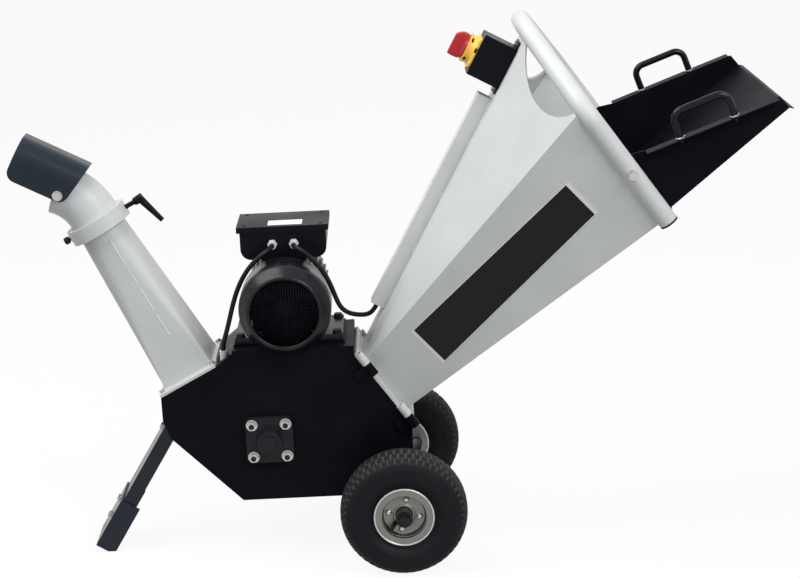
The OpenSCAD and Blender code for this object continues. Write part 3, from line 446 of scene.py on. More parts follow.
@dataclass(frozen=True)
class Finish:
    """A surface finish: two tones, a range of roughness, grain and dust.

    Its slot is the record's material slot that it serves, where that isn't its own name.
    """

    name: str
    tone: Colour
    second: Colour
    rough: Span
    texture: Texture = Texture.PAINT
    slot: str | None = None
    metallic: float = 0.0
    gloss: float = 0.5
    patch_scale: float = 7.0
    patch_rough: Span = (0.3, 0.7)
    patch_mask: Span = (0.35, 0.65)
    grain_scale: float = 500.0
    bump: float = 0.04
    bump_depth: float = 0.002
    dust: float = 0.0
    dust_tone: Colour = (0.32, 0.30, 0.27)
    groove_tone: Colour | None = None

    def material(self, groups: Groups) -> bpy.types.Material:
        """The finish as a material, its tones mixed by patches on paint and rubber, or else specks.

        Args:
            groups: The shared shader groups.

        Returns:
            The new material.
        """
        made = bpy.data.materials.new(self.name)
        made.use_nodes = True
        tree = made.node_tree
        link, shader = tree.links.new, tree.nodes["Principled BSDF"].inputs
        shader["Metallic"].default_value = self.metallic
        shader["Specular IOR Level"].default_value = self.gloss
        place = add_node(tree, "ShaderNodeTexCoord").outputs["Object"]
        scales = {"Patch Scale": self.patch_scale, "Grain Scale": self.grain_scale}
        vary = add_node(tree, "ShaderNodeGroup", scales, groups.variation)
        link(place, vary.inputs["Vector"])
        patch, mask = vary.outputs["Patch"], vary.outputs["Speck"]
        if self.texture in (Texture.PAINT, Texture.RUBBER):
            mask = ranged(tree, patch, self.patch_mask)
        colour = self._mix(tree, self.tone, self.second, mask)
        if self.groove_tone is not None:
            groove = add_node(tree, "ShaderNodeAttribute")
            groove.attribute_name = "groove"
            colour = self._mix(tree, colour, self.groove_tone, groove.outputs["Fac"])
        if self.dust > 0:
            dust = add_node(tree, "ShaderNodeGroup", {"Amount": self.dust}, groups.dust)
            link(place, dust.inputs["Vector"])
            colour = self._mix(tree, colour, self.dust_tone, dust.outputs["Dust"])
        link(colour, shader["Base Color"])
        link(ranged(tree, patch, self.patch_rough, self.rough), shader["Roughness"])
        relief = {"Strength": self.bump, "Distance": self.bump_depth}
        bump = add_node(tree, "ShaderNodeBump", relief)
        link(vary.outputs["Grain"], bump.inputs["Height"])
        link(bump.outputs["Normal"], shader["Normal"])
        return made

    @staticmethod
    def _mix(tree: Tree, first: Colour | Socket, second: Colour, mask: Socket) -> Socket:
        """Two colours mixed by a mask.

        Args:
            tree: The material's nodes.
            first: The colour where the mask is 0, or the socket that gives it.
            second: The colour where the mask is 1.
            mask: The mask.

        Returns:
            The mixed colour's socket.
        """
        node = add_node(tree, "ShaderNodeMix")
        node.data_type = "RGBA"
        sockets = {s.identifier: s for s in node.inputs}
        if isinstance(first, tuple):
            sockets["A_Color"].default_value = (*first, 1)
        else:
            tree.links.new(first, sockets["A_Color"])
        sockets["B_Color"].default_value = (*second, 1)
        tree.links.new(mask, sockets["Factor_Float"])
        return next(s for s in node.outputs if s.identifier == "Result_Color")


FINISHES = {f.name: f for f in (
    Finish("light_paint", (0.63, 0.645, 0.64), (0.58, 0.595, 0.59),
           (0.34, 0.46), gloss=0.35, bump=0.05, dust=0.10),
    Finish("black_paint", (0.0034, 0.0036, 0.0060), (0.0060, 0.0063, 0.0092),
           (0.30, 0.44), gloss=0.04, bump=0.08, dust=0.012),
    Finish("tray_paint", (0.0034, 0.0037, 0.0062), (0.0060, 0.0064, 0.0094),
           (0.36, 0.50), slot="black_paint", gloss=0.03, bump=0.10, dust=0.008),
    Finish("handle_paint", (0.0034, 0.0037, 0.0060), (0.0055, 0.0058, 0.0085),
           (0.16, 0.26), slot="black_paint", gloss=0.20, bump=0.03),
    Finish("motor_paint", (0.0045, 0.0050, 0.0075), (0.0080, 0.0085, 0.0115),
           (0.20, 0.32), gloss=0.22, bump=0.06, dust=0.02),
    Finish("dark_paint", (0.0080, 0.0145, 0.0245), (0.0110, 0.0185, 0.0300),
           (0.24, 0.36), gloss=0.25, bump=0.05, dust=0.03),
    Finish("zinc", (0.50, 0.50, 0.48), (0.34, 0.34, 0.32),
           (0.28, 0.46), Texture.METAL, metallic=1.0, bump=0.05, grain_scale=900, dust=0.1),
    # A darker copy of zinc for the rim; its rolled edges in zinc show as a painted highlight against
    # it.
    Finish("rim_zinc", (0.20, 0.195, 0.185), (0.13, 0.125, 0.115),
           (0.32, 0.50), Texture.METAL, "zinc", metallic=1.0, bump=0.08, grain_scale=700,
           dust=0.15),
    Finish("steel", (0.30, 0.31, 0.32), (0.20, 0.20, 0.21),
           (0.24, 0.40), Texture.METAL, metallic=1.0, bump=0.05, grain_scale=1200),
    Finish("knife_steel", (0.50, 0.51, 0.53), (0.38, 0.39, 0.41),
           (0.18, 0.32), Texture.METAL, metallic=1.0, bump=0.03, grain_scale=1500),
    Finish("iron", (0.014, 0.015, 0.018), (0.028, 0.027, 0.026),
           (0.40, 0.58), Texture.METAL, metallic=0.3, gloss=0.2, bump=0.25, grain_scale=350),
    Finish("tyre_rubber", (0.0050, 0.0060, 0.0080), (0.0090, 0.0102, 0.0122),
           (0.46, 0.66), Texture.RUBBER, "tyre", gloss=0.12, bump=0.18, grain_scale=600, dust=0.03,
           groove_tone=(0.085, 0.083, 0.075)),
    Finish("rubber", (0.0040, 0.0042, 0.0055), (0.0072, 0.0074, 0.0088),
           (0.30, 0.46), Texture.RUBBER, gloss=0.16, bump=0.08, grain_scale=900),
    Finish("black_plastic", (0.0034, 0.0038, 0.0072), (0.0065, 0.0070, 0.0105),
           (0.32, 0.46), Texture.MOULDED, gloss=0.09, bump=0.12, grain_scale=1100, dust=0.012),
    Finish("grey_plastic", (0.66, 0.67, 0.66), (0.60, 0.61, 0.60),
           (0.36, 0.48), Texture.MOULDED, bump=0.05, grain_scale=900),
    Finish("yellow_plastic", (0.90, 0.55, 0.08), (0.84, 0.50, 0.07),
           (0.28, 0.40), Texture.MOULDED, bump=0.05, grain_scale=900),
    Finish("red_plastic", (0.40, 0.014, 0.020), (0.33, 0.011, 0.016),
           (0.26, 0.38), Texture.MOULDED, gloss=0.35, bump=0.05, grain_scale=900),
    Finish("blue_plastic", (0.02, 0.08, 0.34), (0.016, 0.065, 0.28),
           (0.28, 0.40), Texture.MOULDED, bump=0.05, grain_scale=900),
    Finish("band_black", (0.0070, 0.0070, 0.0080), (0.0095, 0.0095, 0.0105),
           (0.24, 0.32), slot="black_paint", gloss=0.15, bump=0.02),
    Finish("band_white", (0.78, 0.78, 0.78), (0.74, 0.74, 0.74),
           (0.30, 0.40), slot="light_paint", bump=0.02),
)}
NODE_FINISH = {
    "feed_tray": "tray_paint", "tray_handles": "handle_paint",
    "rim_near": "rim_zinc", "rim_far": "rim_zinc", "motor_bolts": "iron", "axle": "iron",
    "axle_fittings": "iron", "drum_shaft": "iron", "motor_shaft": "iron",
}


class Palette:
    """All materials, by the name of their finish."""

    def __init__(self) -> None:
        """Makes the shader groups and every material."""
        groups = Groups()
        self.made = {name: finish.material(groups) for name, finish in FINISHES.items()}

    def __getitem__(self, name: str) -> bpy.types.Material:
        """The material of a finish."""
        return self.made[name]

    def dress_nodes(self, frame: dict) -> None:
        """Gives every carried-over solid its own finish, or else the first one of its slot.

        Args:
            frame: The loaded frame.
        """
        by_slot = {f.slot or name: name for name, f in reversed(FINISHES.items())}
        for part in frame["record"]["subparts"]:
            node = frame["nodes"][part["node"]]
            name = NODE_FINISH.get(part["node"], by_slot[part["material_slot"]])
            node.data.materials.clear()
            node.data.materials.append(self[name])
            LOG.info("%s: %s", part["node"], name)


# Stage


@dataclass
class Stage:
    """Floor, light and camera."""

    eye: Point = (0.01313, -3.78403, 1.60473)
    pitch: float = 15.73
    roll: float = 2.7
    lens: float = 84.6
    sensor: float = 36.0
    daylight: float = 0.40
    sky: Colour = (0.95, 0.97, 1.0)
    floor_half: float = 40.0
    floor_pale: float = 0.9
    floor_grey: float = 0.32
    floor_glow: float = 0.92
    lamps: tuple = (
        ("overhead", (-1.6, -0.35, 3.3), (0.0, 0.0, 0.6), 2.4, 96.0),
        ("front_right", (2.2, -2.6, 3.2), (0.0, 0.0, 0.5), 2.0, 98.0),
    )

    def build(self) -> None:
        """Makes the floor, the lamps, the world and the camera."""
        self._floor()
        self._world()
        for lamp in self.lamps:
            self._lamp(*lamp)
        self._camera()

    def _floor(self) -> None:
        """A wide pale floor that keeps the shadow and reads as white."""
        material = bpy.data.materials.new("pale_floor")
        material.use_nodes = True
        tree = material.node_tree
        tree.nodes.clear()
        tones = (self.floor_pale, self.floor_grey)
        pale, grey = (add_node(tree, "ShaderNodeBsdfDiffuse", {"Color": (v, v, v, 1)})
                      for v in tones)
        glow = add_node(tree, "ShaderNodeEmission")
        white = self._mixed(tree, self.floor_glow, pale, glow)
        mix = self._mixed(tree, self._seen(tree), grey, white)
        out = add_node(tree, "ShaderNodeOutputMaterial")
        tree.links.new(mix.outputs[0], out.inputs["Surface"])
        mesh = bpy.data.meshes.new("floor")
        h = self.floor_half
        mesh.from_pydata([(-h, -h, 0), (h, -h, 0), (h, h, 0), (-h, h, 0)], [], [(0, 1, 2, 3)])
        mesh.materials.append(material)
        floor = bpy.data.objects.new("floor", mesh)
        bpy.context.scene.collection.objects.link(floor)

    @staticmethod
    def _mixed(tree: Tree, share: float | Socket, first: Node, second: Node) -> Node:
        """Two shaders mixed.

        Args:
            tree: The nodes.
            share: The second shader's share, or the socket that gives it.
            first: The first shader.
            second: The second shader.

        Returns:
            The mixing node.
        """
        mix = add_node(tree, "ShaderNodeMixShader")
        if isinstance(share, float):
            mix.inputs[0].default_value = share
        else:
            tree.links.new(share, mix.inputs[0])
        tree.links.new(first.outputs[0], mix.inputs[1])
        tree.links.new(second.outputs[0], mix.inputs[2])
        return mix

    @staticmethod
    def _seen(tree: Tree) -> Socket:
        """1 on rays from the camera, mirrors and glass, 0 on rays that light the object."""
        path = add_node(tree, "ShaderNodeLightPath").outputs
        total = path["Is Camera Ray"]
        for key in ("Is Glossy Ray", "Is Transmission Ray"):
            total = combined(tree, "MAXIMUM", total, path[key])
        return total

    def _world(self) -> None:
        """White where it is seen, softer where it lights."""
        world = bpy.data.worlds.new("studio")
        bpy.context.scene.world = world
        world.use_nodes = True
        tree = world.node_tree
        light = tree.nodes["Background"]
        light.inputs["Color"].default_value = (*self.sky, 1)
        light.inputs["Strength"].default_value = self.daylight
        white = add_node(tree, "ShaderNodeBackground", {"Color": (1, 1, 1, 1)})
        mix = self._mixed(tree, self._seen(tree), light, white)
        tree.links.new(mix.outputs[0], tree.nodes["World Output"].inputs["Surface"])

    @staticmethod
    def _lamp(name: str, place: Point, aim: Point, size: float, power: float) -> None:
        """A soft square lamp that looks at a point.

        Args:
            name: The lamp's name.
            place: Where it hangs.
            aim: The point that it looks at.
            size: Its width.
            power: Its power in watts.
        """
        data = bpy.data.lights.new(name, "AREA")
        data.size = size
        data.energy = power
        lamp = bpy.data.objects.new(name, data)
        lamp.location = place
        lamp.rotation_euler = (Vector(aim) - Vector(place)).to_track_quat("-Z", "Y").to_euler()
        bpy.context.scene.collection.objects.link(lamp)

    def _camera(self) -> None:
        """The camera at the photograph's place, pitch and roll."""
        p, r = math.radians(self.pitch), math.radians(self.roll)
        ahead = Vector((0, math.cos(p), -math.sin(p)))
        right, up = Vector((1, 0, 0)), Vector((0, math.sin(p), math.cos(p)))
        side = right * math.cos(r) - up * math.sin(r)
        top = right * math.sin(r) + up * math.cos(r)
        data = bpy.data.cameras.new("camera")
        data.sensor_fit = "HORIZONTAL"
        data.sensor_width = self.sensor
        data.lens = self.lens
        camera = bpy.data.objects.new("camera", data)
        turn = Matrix((side, top, -ahead)).transposed().to_4x4()
        camera.matrix_world = Matrix.Translation(Vector(self.eye)) @ turn
        bpy.context.scene.collection.objects.link(camera)
        bpy.context.scene.camera = camera


# Sub-assemblies


@dataclass
class SubAssembly(ABC):
    """Pieces that belong together, made from one palette."""

    palette: Palette

    @abstractmethod
    def build(self) -> None:
        """Makes the pieces."""

    def piece(self, name: str, skin: Skin, body: str | None, finish: str,
              smooth: bool = True) -> bpy.types.Object:
        """Puts points and faces into a mesh whose object rides on a body.

        Args:
            name: The piece's name.
            skin: Points in metres, and faces as lists of point indices.
            body: The body that carries the piece, or None for one that two bodies share.
            finish: The name of its finish.
            smooth: Whether its faces are shaded smooth.

        Returns:
            The new object.
        """
        points, faces = skin
        mesh = bpy.data.meshes.new(name)
        mesh.from_pydata(points.tolist(), [], faces)
        mesh.validate()
        mesh.polygons.foreach_set("use_smooth", np.full(len(mesh.polygons), smooth))
        mesh.materials.append(self.palette[finish])
        made = bpy.data.objects.new(name, mesh)
        bpy.context.scene.collection.objects.link(made)
        if body is not None:
            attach(made, body)
        LOG.info("%s: %d faces, on %s", name, len(mesh.polygons), body or "two bodies")
        return made


@dataclass
class Wheel(SubAssembly):
    """A turf tyre with its valve, and the rim's pressed disc, on one side of the axle.

    Sizes of the tyre are in metres, its angles in degrees round its section, 90 at the crown.
    """

    side: Side
    track: float = 0.430
    height: float = 0.130
    crown: float = 0.130
    bead: float = 0.062
    half_width: float = 0.043
    bulge: float = 0.75
    carcass: float = 0.009
    seat: float = 0.050
    lip: float = 0.032
    ease: float = 0.0003
    groove: float = 0.0040
    blocks: int = 52
    block_steps: int = 10
    rows: int = 5
    tread: Span = (32.0, 148.0)
    stagger: float = 0.5
    lean: float = 0.30
    row_gap: float = 0.05
    block_gap: float = 0.11
    block_edge: float = 0.05
    shoulder: float = 0.25
    arcs: Rows = ((-42, 30, 14), (31.5, 148.5, 72), (150, 222, 14))
    inner_steps: int = 16
    ribs: tuple = (-14, 8, 22, 158, 172, 194)
    rib_height: float = 0.0012
    rib_width: float = 3.0
    rolled_edge: Point = (60.0, 36.2, 2.4)
    edge_sides: int = 12
    disc: Rows = (
        (16.2, 22.0), (20.0, 22.4), (22.0, 20.6), (24.0, 19.0), (40.0, 18.6), (42.4, 19.6),
        (43.6, 22.4), (44.4, 28.0), (45.9, 30.0), (45.9, 24.0), (44.6, 18.4), (42.6, 16.6),
        (23.4, 16.8), (20.6, 19.6), (16.2, 20.0))
    head_turns: tuple = (80, 170, 260, 350)
    head_circle: float = 32.0
    head: Rows = (
        (6.6, 18.0), (6.6, 19.6), (5.2, 19.9), (5.2, 22.2), (4.4, 23.4), (2.6, 24.1), (0.4, 24.3))
    plug: Rows = ((11.0, 40.0), (15.8, 40.0), (15.8, 45.2), (14.6, 46.2), (11.0, 46.0))
    stem: Rows = ((5.0, 0), (4.8, 3), (4.0, 6), (4.0, 15), (3.2, 16), (3.2, 21), (2.6, 22))
    stem_foot: Point = (-0.0190, 0.0185, -0.0190)
    stem_axis: Point = (-0.44, 0.7828, -0.44)

    @property
    def body(self) -> str:
        """The body that this wheel turns with."""
        return f"wheel_{self.side.name.lower()}"

    @property
    def centre(self) -> np.ndarray:
        """The middle of the wheel."""
        return np.array([0.0, self.side.value * self.track / 2, self.height])

    def build(self) -> None:
        """Makes the tyre, the valve, the rim's rolled edges in lighter zinc as a painted highlight,
        and its disc, bolt heads and plug.
        """
        node = self.body.replace("wheel", "tyre")
        points, faces, depth = self._tyre()
        tyre = self.piece(f"{self.body}_turf_tyre", (points, faces), self.body, "tyre_rubber")
        tyre.data.attributes.new("groove", "FLOAT", "POINT").data.foreach_set("value", depth)
        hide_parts(node)
        radius, offset, thick = self.rolled_edge
        t = turns(self.edge_sides)
        rounds = [np.column_stack([radius + thick * np.cos(t),
                                   side.value * offset + thick * np.sin(t)]) for side in Side]
        edges = [carried_round(section, self.centre, 1, sides=96) for section in rounds]
        spokes = [np.array([math.cos(t), 0.0, math.sin(t)]) for t in np.radians(self.head_turns)]
        places = [self.centre + MM * self.head_circle * spoke for spoke in spokes]
        sign = self.side.value
        heads = [revolve(self.head, place, sign * ACROSS, sides=20) for place in places]
        # The rolled edges take the lighter zinc against the rim's darker rim_zinc: a painted
        # highlight on the edges.
        rim = {
            "valve": (self._valve(), "rubber"),
            "rolled_edges": (joined(edges), "zinc"),
            "pressed_disc": (carried_round(self.disc, self.centre, sign, sides=96), "rim_zinc"),
            "disc_bolts": (joined(heads), "zinc"),
            "hub_plug": (carried_round(self.plug, self.centre, sign, sides=64), "iron"),
        }
        for name, (skin, finish) in rim.items():
            self.piece(f"{self.body}_{name}", skin, self.body, finish)

    def _section(self, s: np.ndarray, inset: np.ndarray | float) -> tuple[np.ndarray, np.ndarray]:
        """Radius mid + half |sin s|^bulge and width half |cos s|^bulge of the rounded section.

        Args:
            s: Angles round the section, in radians.
            inset: How far inside the skin.

        Returns:
            Radii and offsets along the axle.
        """
        mid = (self.bead + self.crown) / 2
        lift, out = (np.sign(q) * np.abs(q) ** self.bulge for q in (np.sin(s), np.cos(s)))
        return mid + (self.crown - mid - inset) * lift, (self.half_width - inset) * out

    def _tread(self, s: np.ndarray, a: np.ndarray) -> np.ndarray:
        """Depth of the tread: staggered rows of blocks, with a soft step at each block's edge.

        Args:
            s: Angles round the section, in radians.
            a: Angles round the axle, in radians.

        Returns:
            Depths below the skin.
        """
        start, stop = self.tread
        across = (np.degrees(s) - start) / (stop - start) * self.rows
        offset = self.stagger * (np.floor(across) % 2) + self.lean * np.abs(across % 1 - 0.5)
        along = self.blocks * a / (2 * math.pi) + offset

        def wall(t: np.ndarray, gap: float) -> np.ndarray:
            """1 on a block, 0 in the gap round it."""
            return np.clip((np.minimum(t % 1, 1 - t % 1) - gap) / self.block_edge, 0, 1)

        block = np.minimum(wall(across, self.row_gap), wall(along, self.block_gap))
        fade = np.clip(np.minimum(across, self.rows - across) / self.shoulder, 0, 1)
        return self.groove * (1 - block) * fade

    def _tyre(self) -> tuple[np.ndarray, list, np.ndarray]:
        """Tyre skin: the section carried round the axle, less the tread, with its inner skin.

        Returns:
            Points, faces, and how far each point lies down in a groove, from 0 to 1.
        """
        s = np.concatenate([np.linspace(math.radians(low), math.radians(high), steps)
                            for low, high, steps in self.arcs])
        a = turns(self.block_steps * self.blocks)
        grid_s, grid_a = np.meshgrid(s, a, indexing="ij")
        bumps = ((np.degrees(grid_s) - rib) / self.rib_width for rib in self.ribs)
        tread = self._tread(grid_s, grid_a)
        r, w = self._section(grid_s, tread - sum(self.rib_height * np.exp(-(b**2)) for b in bumps))
        r_in, w_in = self._section(np.linspace(s[-1], s[0], self.inner_steps), self.carcass)
        heel = [self.bead + self.ease, self.seat, self.seat]
        toe = [self.lip, self.lip, self.lip - self.carcass]
        r_in = np.concatenate([heel, r_in, heel[::-1]])
        w_in = np.concatenate([np.negative(toe), w_in, toe[::-1]])
        r, w = (np.vstack([skin, np.repeat(inner[:, None], len(a), 1)])
                for skin, inner in ((r, r_in), (w, w_in)))
        points = self.centre + np.stack([r * np.cos(a), w, r * np.sin(a)], -1)
        depth = np.zeros(r.shape)
        depth[: len(s)] = tread / self.groove
        faces = tube_faces(len(r), len(a), ring=True)
        return *outward(points.reshape(-1, 3), faces), depth.ravel()

    def _valve(self) -> Skin:
        """Valve stem: a stepped, tapered round that leans out of the rim's dish."""
        mirror = np.array([1, self.side.value, 1])
        start = self.centre + mirror * self.stem_foot
        return revolve(self.stem, start, mirror * self.stem_axis, sides=20)


@dataclass
class Cables(SubAssembly):
    """The two black cables that leave the terminal box."""

    diameter: float = 0.010
    steps: int = 8
    sides: int = 16
    motor: Rows = (
        (-243, -76, 664), (-243, -86, 664), (-256, -102, 658), (-282, -112, 640),
        (-305, -114, 610), (-321, -111, 575), (-332, -103, 540), (-341, -92, 508),
        (-350, -81, 480), (-356, -73, 462), (-358, -70, 452), (-358, -70, 445))
    switch: Rows = (
        (-199, -76, 664), (-199, -86, 664), (-182, -104, 660), (-160, -112, 642),
        (-140, -113, 616), (-126, -110, 584), (-118, -100, 554), (-110, -84, 528),
        (-94, -64, 510), (-74, -44, 500), (-56, -24, 494), (-46, -9, 497),
        (-37, -2, 508), (-23, 0, 532))

    def build(self) -> None:
        self._cable("motor_cable_sheath", self.motor, "motor_cable", "chassis")
        piece = self._cable("switch_cable_sheath", self.switch, "switch_cable", None)
        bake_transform(piece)

    def _cable(self, name: str, route: Rows, node: str, body: str | None) -> bpy.types.Object:
        """A round cable along a smooth route.

        Args:
            name: The piece's name.
            route: The points that steer it.
            node: The solid that it stands for.
            body: The body that carries it, or None when it is shared.

        Returns:
            The cable.
        """
        path = smooth_path(MM * np.array(route, float), self.steps)
        piece = self.piece(name, sweep(path, self.diameter / 2, self.sides), body, "rubber")
        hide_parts(node)
        return piece


@dataclass
class HopperDress(SubAssembly):
    """A bare band on each side of the hopper, and the weld beads of its cable channel."""

    face: Span = (-31.0, 350.5)
    tilt: float = 35.0
    band: Rows = ((124.7, 69.2), (136.7, -22.7), (582.1, 78.2), (571.1, 160.4))
    border: float = 7.7
    border_lift: Span = (0.05, 0.4)
    field_lift: Span = (0.4, 0.7)
    throat: Span = (6.0, 75.0)
    flare: float = 215 / 654
    ridge: Rows = ((-70.0, 0.0, 416.6), (0.4848, 0.0, 0.8746), (-0.8746, 0.0, 0.4848))
    weld_place: Span = (18.4, 0.6)
    weld_radius: float = 1.8
    weld_length: float = 24.0
    weld_steps: int = 18
    stitches: tuple = (112.0, 230.0, 352.0, 470.0, 562.0)

    def build(self) -> None:
        """Makes the bands and the beads."""
        outer = np.array(self.band)
        inner = outer - self.border * unit(outer - outer.mean(0))
        for side in Side:
            tag = side.name.lower()
            border = self._plate(outer, side, self.border_lift)
            self.piece(f"band_border_{tag}", border, "hopper", "band_white", False)
            welds = [bead(self._channel_line(s, side), self.weld_radius) for s in self.stitches]
            self.piece(f"channel_welds_{tag}", joined(welds), "hopper", "light_paint")
            bare = self._plate(inner, side, self.field_lift)
            self.piece(f"band_field_{tag}", bare, "hopper", "band_black", False)

    def _channel_line(self, start: float, side: Side) -> np.ndarray:
        """A short line where the cable channel meets the ridge.

        Args:
            start: Distance along the ridge, in millimetres.
            side: Which side of the channel.

        Returns:
            Points in metres.
        """
        origin, along, out = np.array(self.ridge)
        t = np.linspace(start, start + self.weld_length, self.weld_steps)[:, None]
        across, lift = self.weld_place
        return MM * (origin + t * along + lift * out + side.value * across * ACROSS)

    def _plate(self, spots: np.ndarray, side: Side, lifts: Span) -> Skin:
        """A thin plate on the hopper's sloping side, where y = throat + (w - start) flare.

        With w out of the feed face and v up its slope, (x, z) = the face's centre
        + w (cos t, sin t) + v (-sin t, cos t).

        Args:
            spots: Corners as pairs of w and v, in millimetres.
            side: Which side.
            lifts: Distances of its underside and its face off the sheet, in millimetres.

        Returns:
            Points and faces.
        """
        (x, z), (start, throat) = self.face, self.throat
        c, s = math.cos(math.radians(self.tilt)), math.sin(math.radians(self.tilt))
        away = math.hypot(1, self.flare)
        outlines = []
        for lift in lifts:
            w, v = spots[:, 0] - lift * self.flare / away, spots[:, 1]
            y = throat + (spots[:, 0] - start) * self.flare + lift / away
            outlines.append([x + w * c - v * s, side.value * y, z + w * s + v * c])
        return slab(*(MM * np.column_stack(outline) for outline in outlines))


@dataclass
class ChuteDress(SubAssembly):
    """Weld beads of the folded discharge chute, lighter than its paint as a painted highlight, and
    the dark stop screw in its collar.
    """

    foot: Point = (-433.0, 0.0, 386.0)
    along: Point = (-0.4617, 0.0, 0.887)
    length: float = 352.0
    base_half: float = 62.0
    top_half: float = 49.0
    offset: float = 12.5
    weld_radius: float = 1.6
    weld_step: float = 1.5
    stitches: Rows = ((96, 150), (158, 214), (220, 262), (268, 330))
    screw: Span = (-66.0, 367.5)
    screw_profile: Rows = (
        (4.5, 0.2), (4.5, 5.4), (7.0, 5.6), (7.7, 6.2), (7.7, 14.6), (6.9, 15.4), (0.4, 15.5))

    @property
    def forward(self) -> np.ndarray:
        """The direction out of the chute's front, at right angles to its length."""
        return np.array([self.along[2], 0.0, -self.along[0]])

    def build(self) -> None:
        """Makes the seam of each side, in a lighter white as a painted highlight, and the stop screw.
        """
        for side in Side:
            beads = [bead(self._line(a, b, side), self.weld_radius) for a, b in self.stitches]
            # band_white is a lighter copy of the chute's light paint, so the seam's beads carry a
            # painted highlight.
            self.piece(f"chute_seam_{side.name.lower()}", joined(beads), "chassis", "band_white")
        front, height = self.screw
        place = MM * (self.foot + front * self.forward + height * np.array(self.along))
        screw = revolve(self.screw_profile, place, -self.forward, sides=24)
        self.piece("collar_stop_screw", screw, "chassis", "iron", False)

    def _line(self, a: float, b: float, side: Side) -> np.ndarray:
        """Points down a side: y falls evenly from the base's half width to the top's.

        Args:
            a: Where the line starts, in millimetres from the foot.
            b: Where it ends.
            side: Which side.

        Returns:
            Points in metres.
        """
        t = np.linspace(a, b, int((b - a) / self.weld_step))[:, None]
        y = self.base_half + (self.top_half - self.base_half) * t / self.length
        middle = self.foot + self.offset * self.forward + t * np.array(self.along)
        return MM * (middle + side.value * y * ACROSS)


@dataclass
class MotorDress(SubAssembly):
    """The pressed fan cover with its wire mesh, and the bare plate on the terminal lid."""

    lid_top: float = 702.0
    plate: tuple = (-251.0, -181.0, -55.0, -16.0)
    plate_corner: float = 2.0
    plate_lift: Span = (0.05, 0.55)
    centre: Point = (-221.0, 0.0, 546.0)
    cover: Rows = (
        (91.5, 72.2), (94.0, 72.2), (94.0, 84.0), (93.2, 85.5), (94.0, 87.0), (94.0, 140.0),
        (93.4, 144.5), (91.6, 148.5), (77.0, 167.2), (75.0, 169.2), (72.4, 170.0), (70.2, 169.2),
        (69.4, 167.2), (69.4, 163.4), (71.6, 163.4), (73.2, 165.6), (89.2, 146.4), (91.5, 140.0))
    mesh_radius: float = 70.4
    mesh_front: float = 164.6
    mesh_pitch: float = 5.2
    wire: float = 0.9

    def build(self) -> None:
        """Makes the fan cover, its mesh and the plate."""
        skin = carried_round(self.cover, MM * np.array(self.centre), Side.NEAR.value, sides=128)
        cover = self.piece("pressed_fan_cover", skin, "chassis", "motor_paint")
        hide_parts("fan_cover")
        self.piece("fan_mesh", self._mesh(), "chassis", "black_paint")
        x0, x1, y0, y1 = self.plate
        flat = rounded(np.array([[x0, y0], [x1, y0], [x1, y1], [x0, y1]]), self.plate_corner)
        plate = slab(*(MM * np.column_stack([flat, np.full(len(flat), self.lid_top + lift)])
                       for lift in self.plate_lift))
        self.piece("lid_bare_plate", plate, "chassis", "band_white", False)

    def _mesh(self) -> Skin:
        """Crossed wires: chords of a circle at an even pitch, in two directions a wire apart."""
        r, pitch = self.mesh_radius, self.mesh_pitch
        wires = []
        for turned in (False, True):
            depth = self.mesh_front - (self.wire if turned else -self.wire)
            for d in np.arange(-r + pitch / 2, r, pitch):
                half = math.sqrt(r**2 - d**2)
                chord = np.array([[d, -depth, t] for t in (-half, 0.0, half)])
                path = np.array(self.centre) + (chord[:, ::-1] if turned else chord)
                wires.append(sweep(MM * path, MM * self.wire, sides=6))
        return joined(wires)


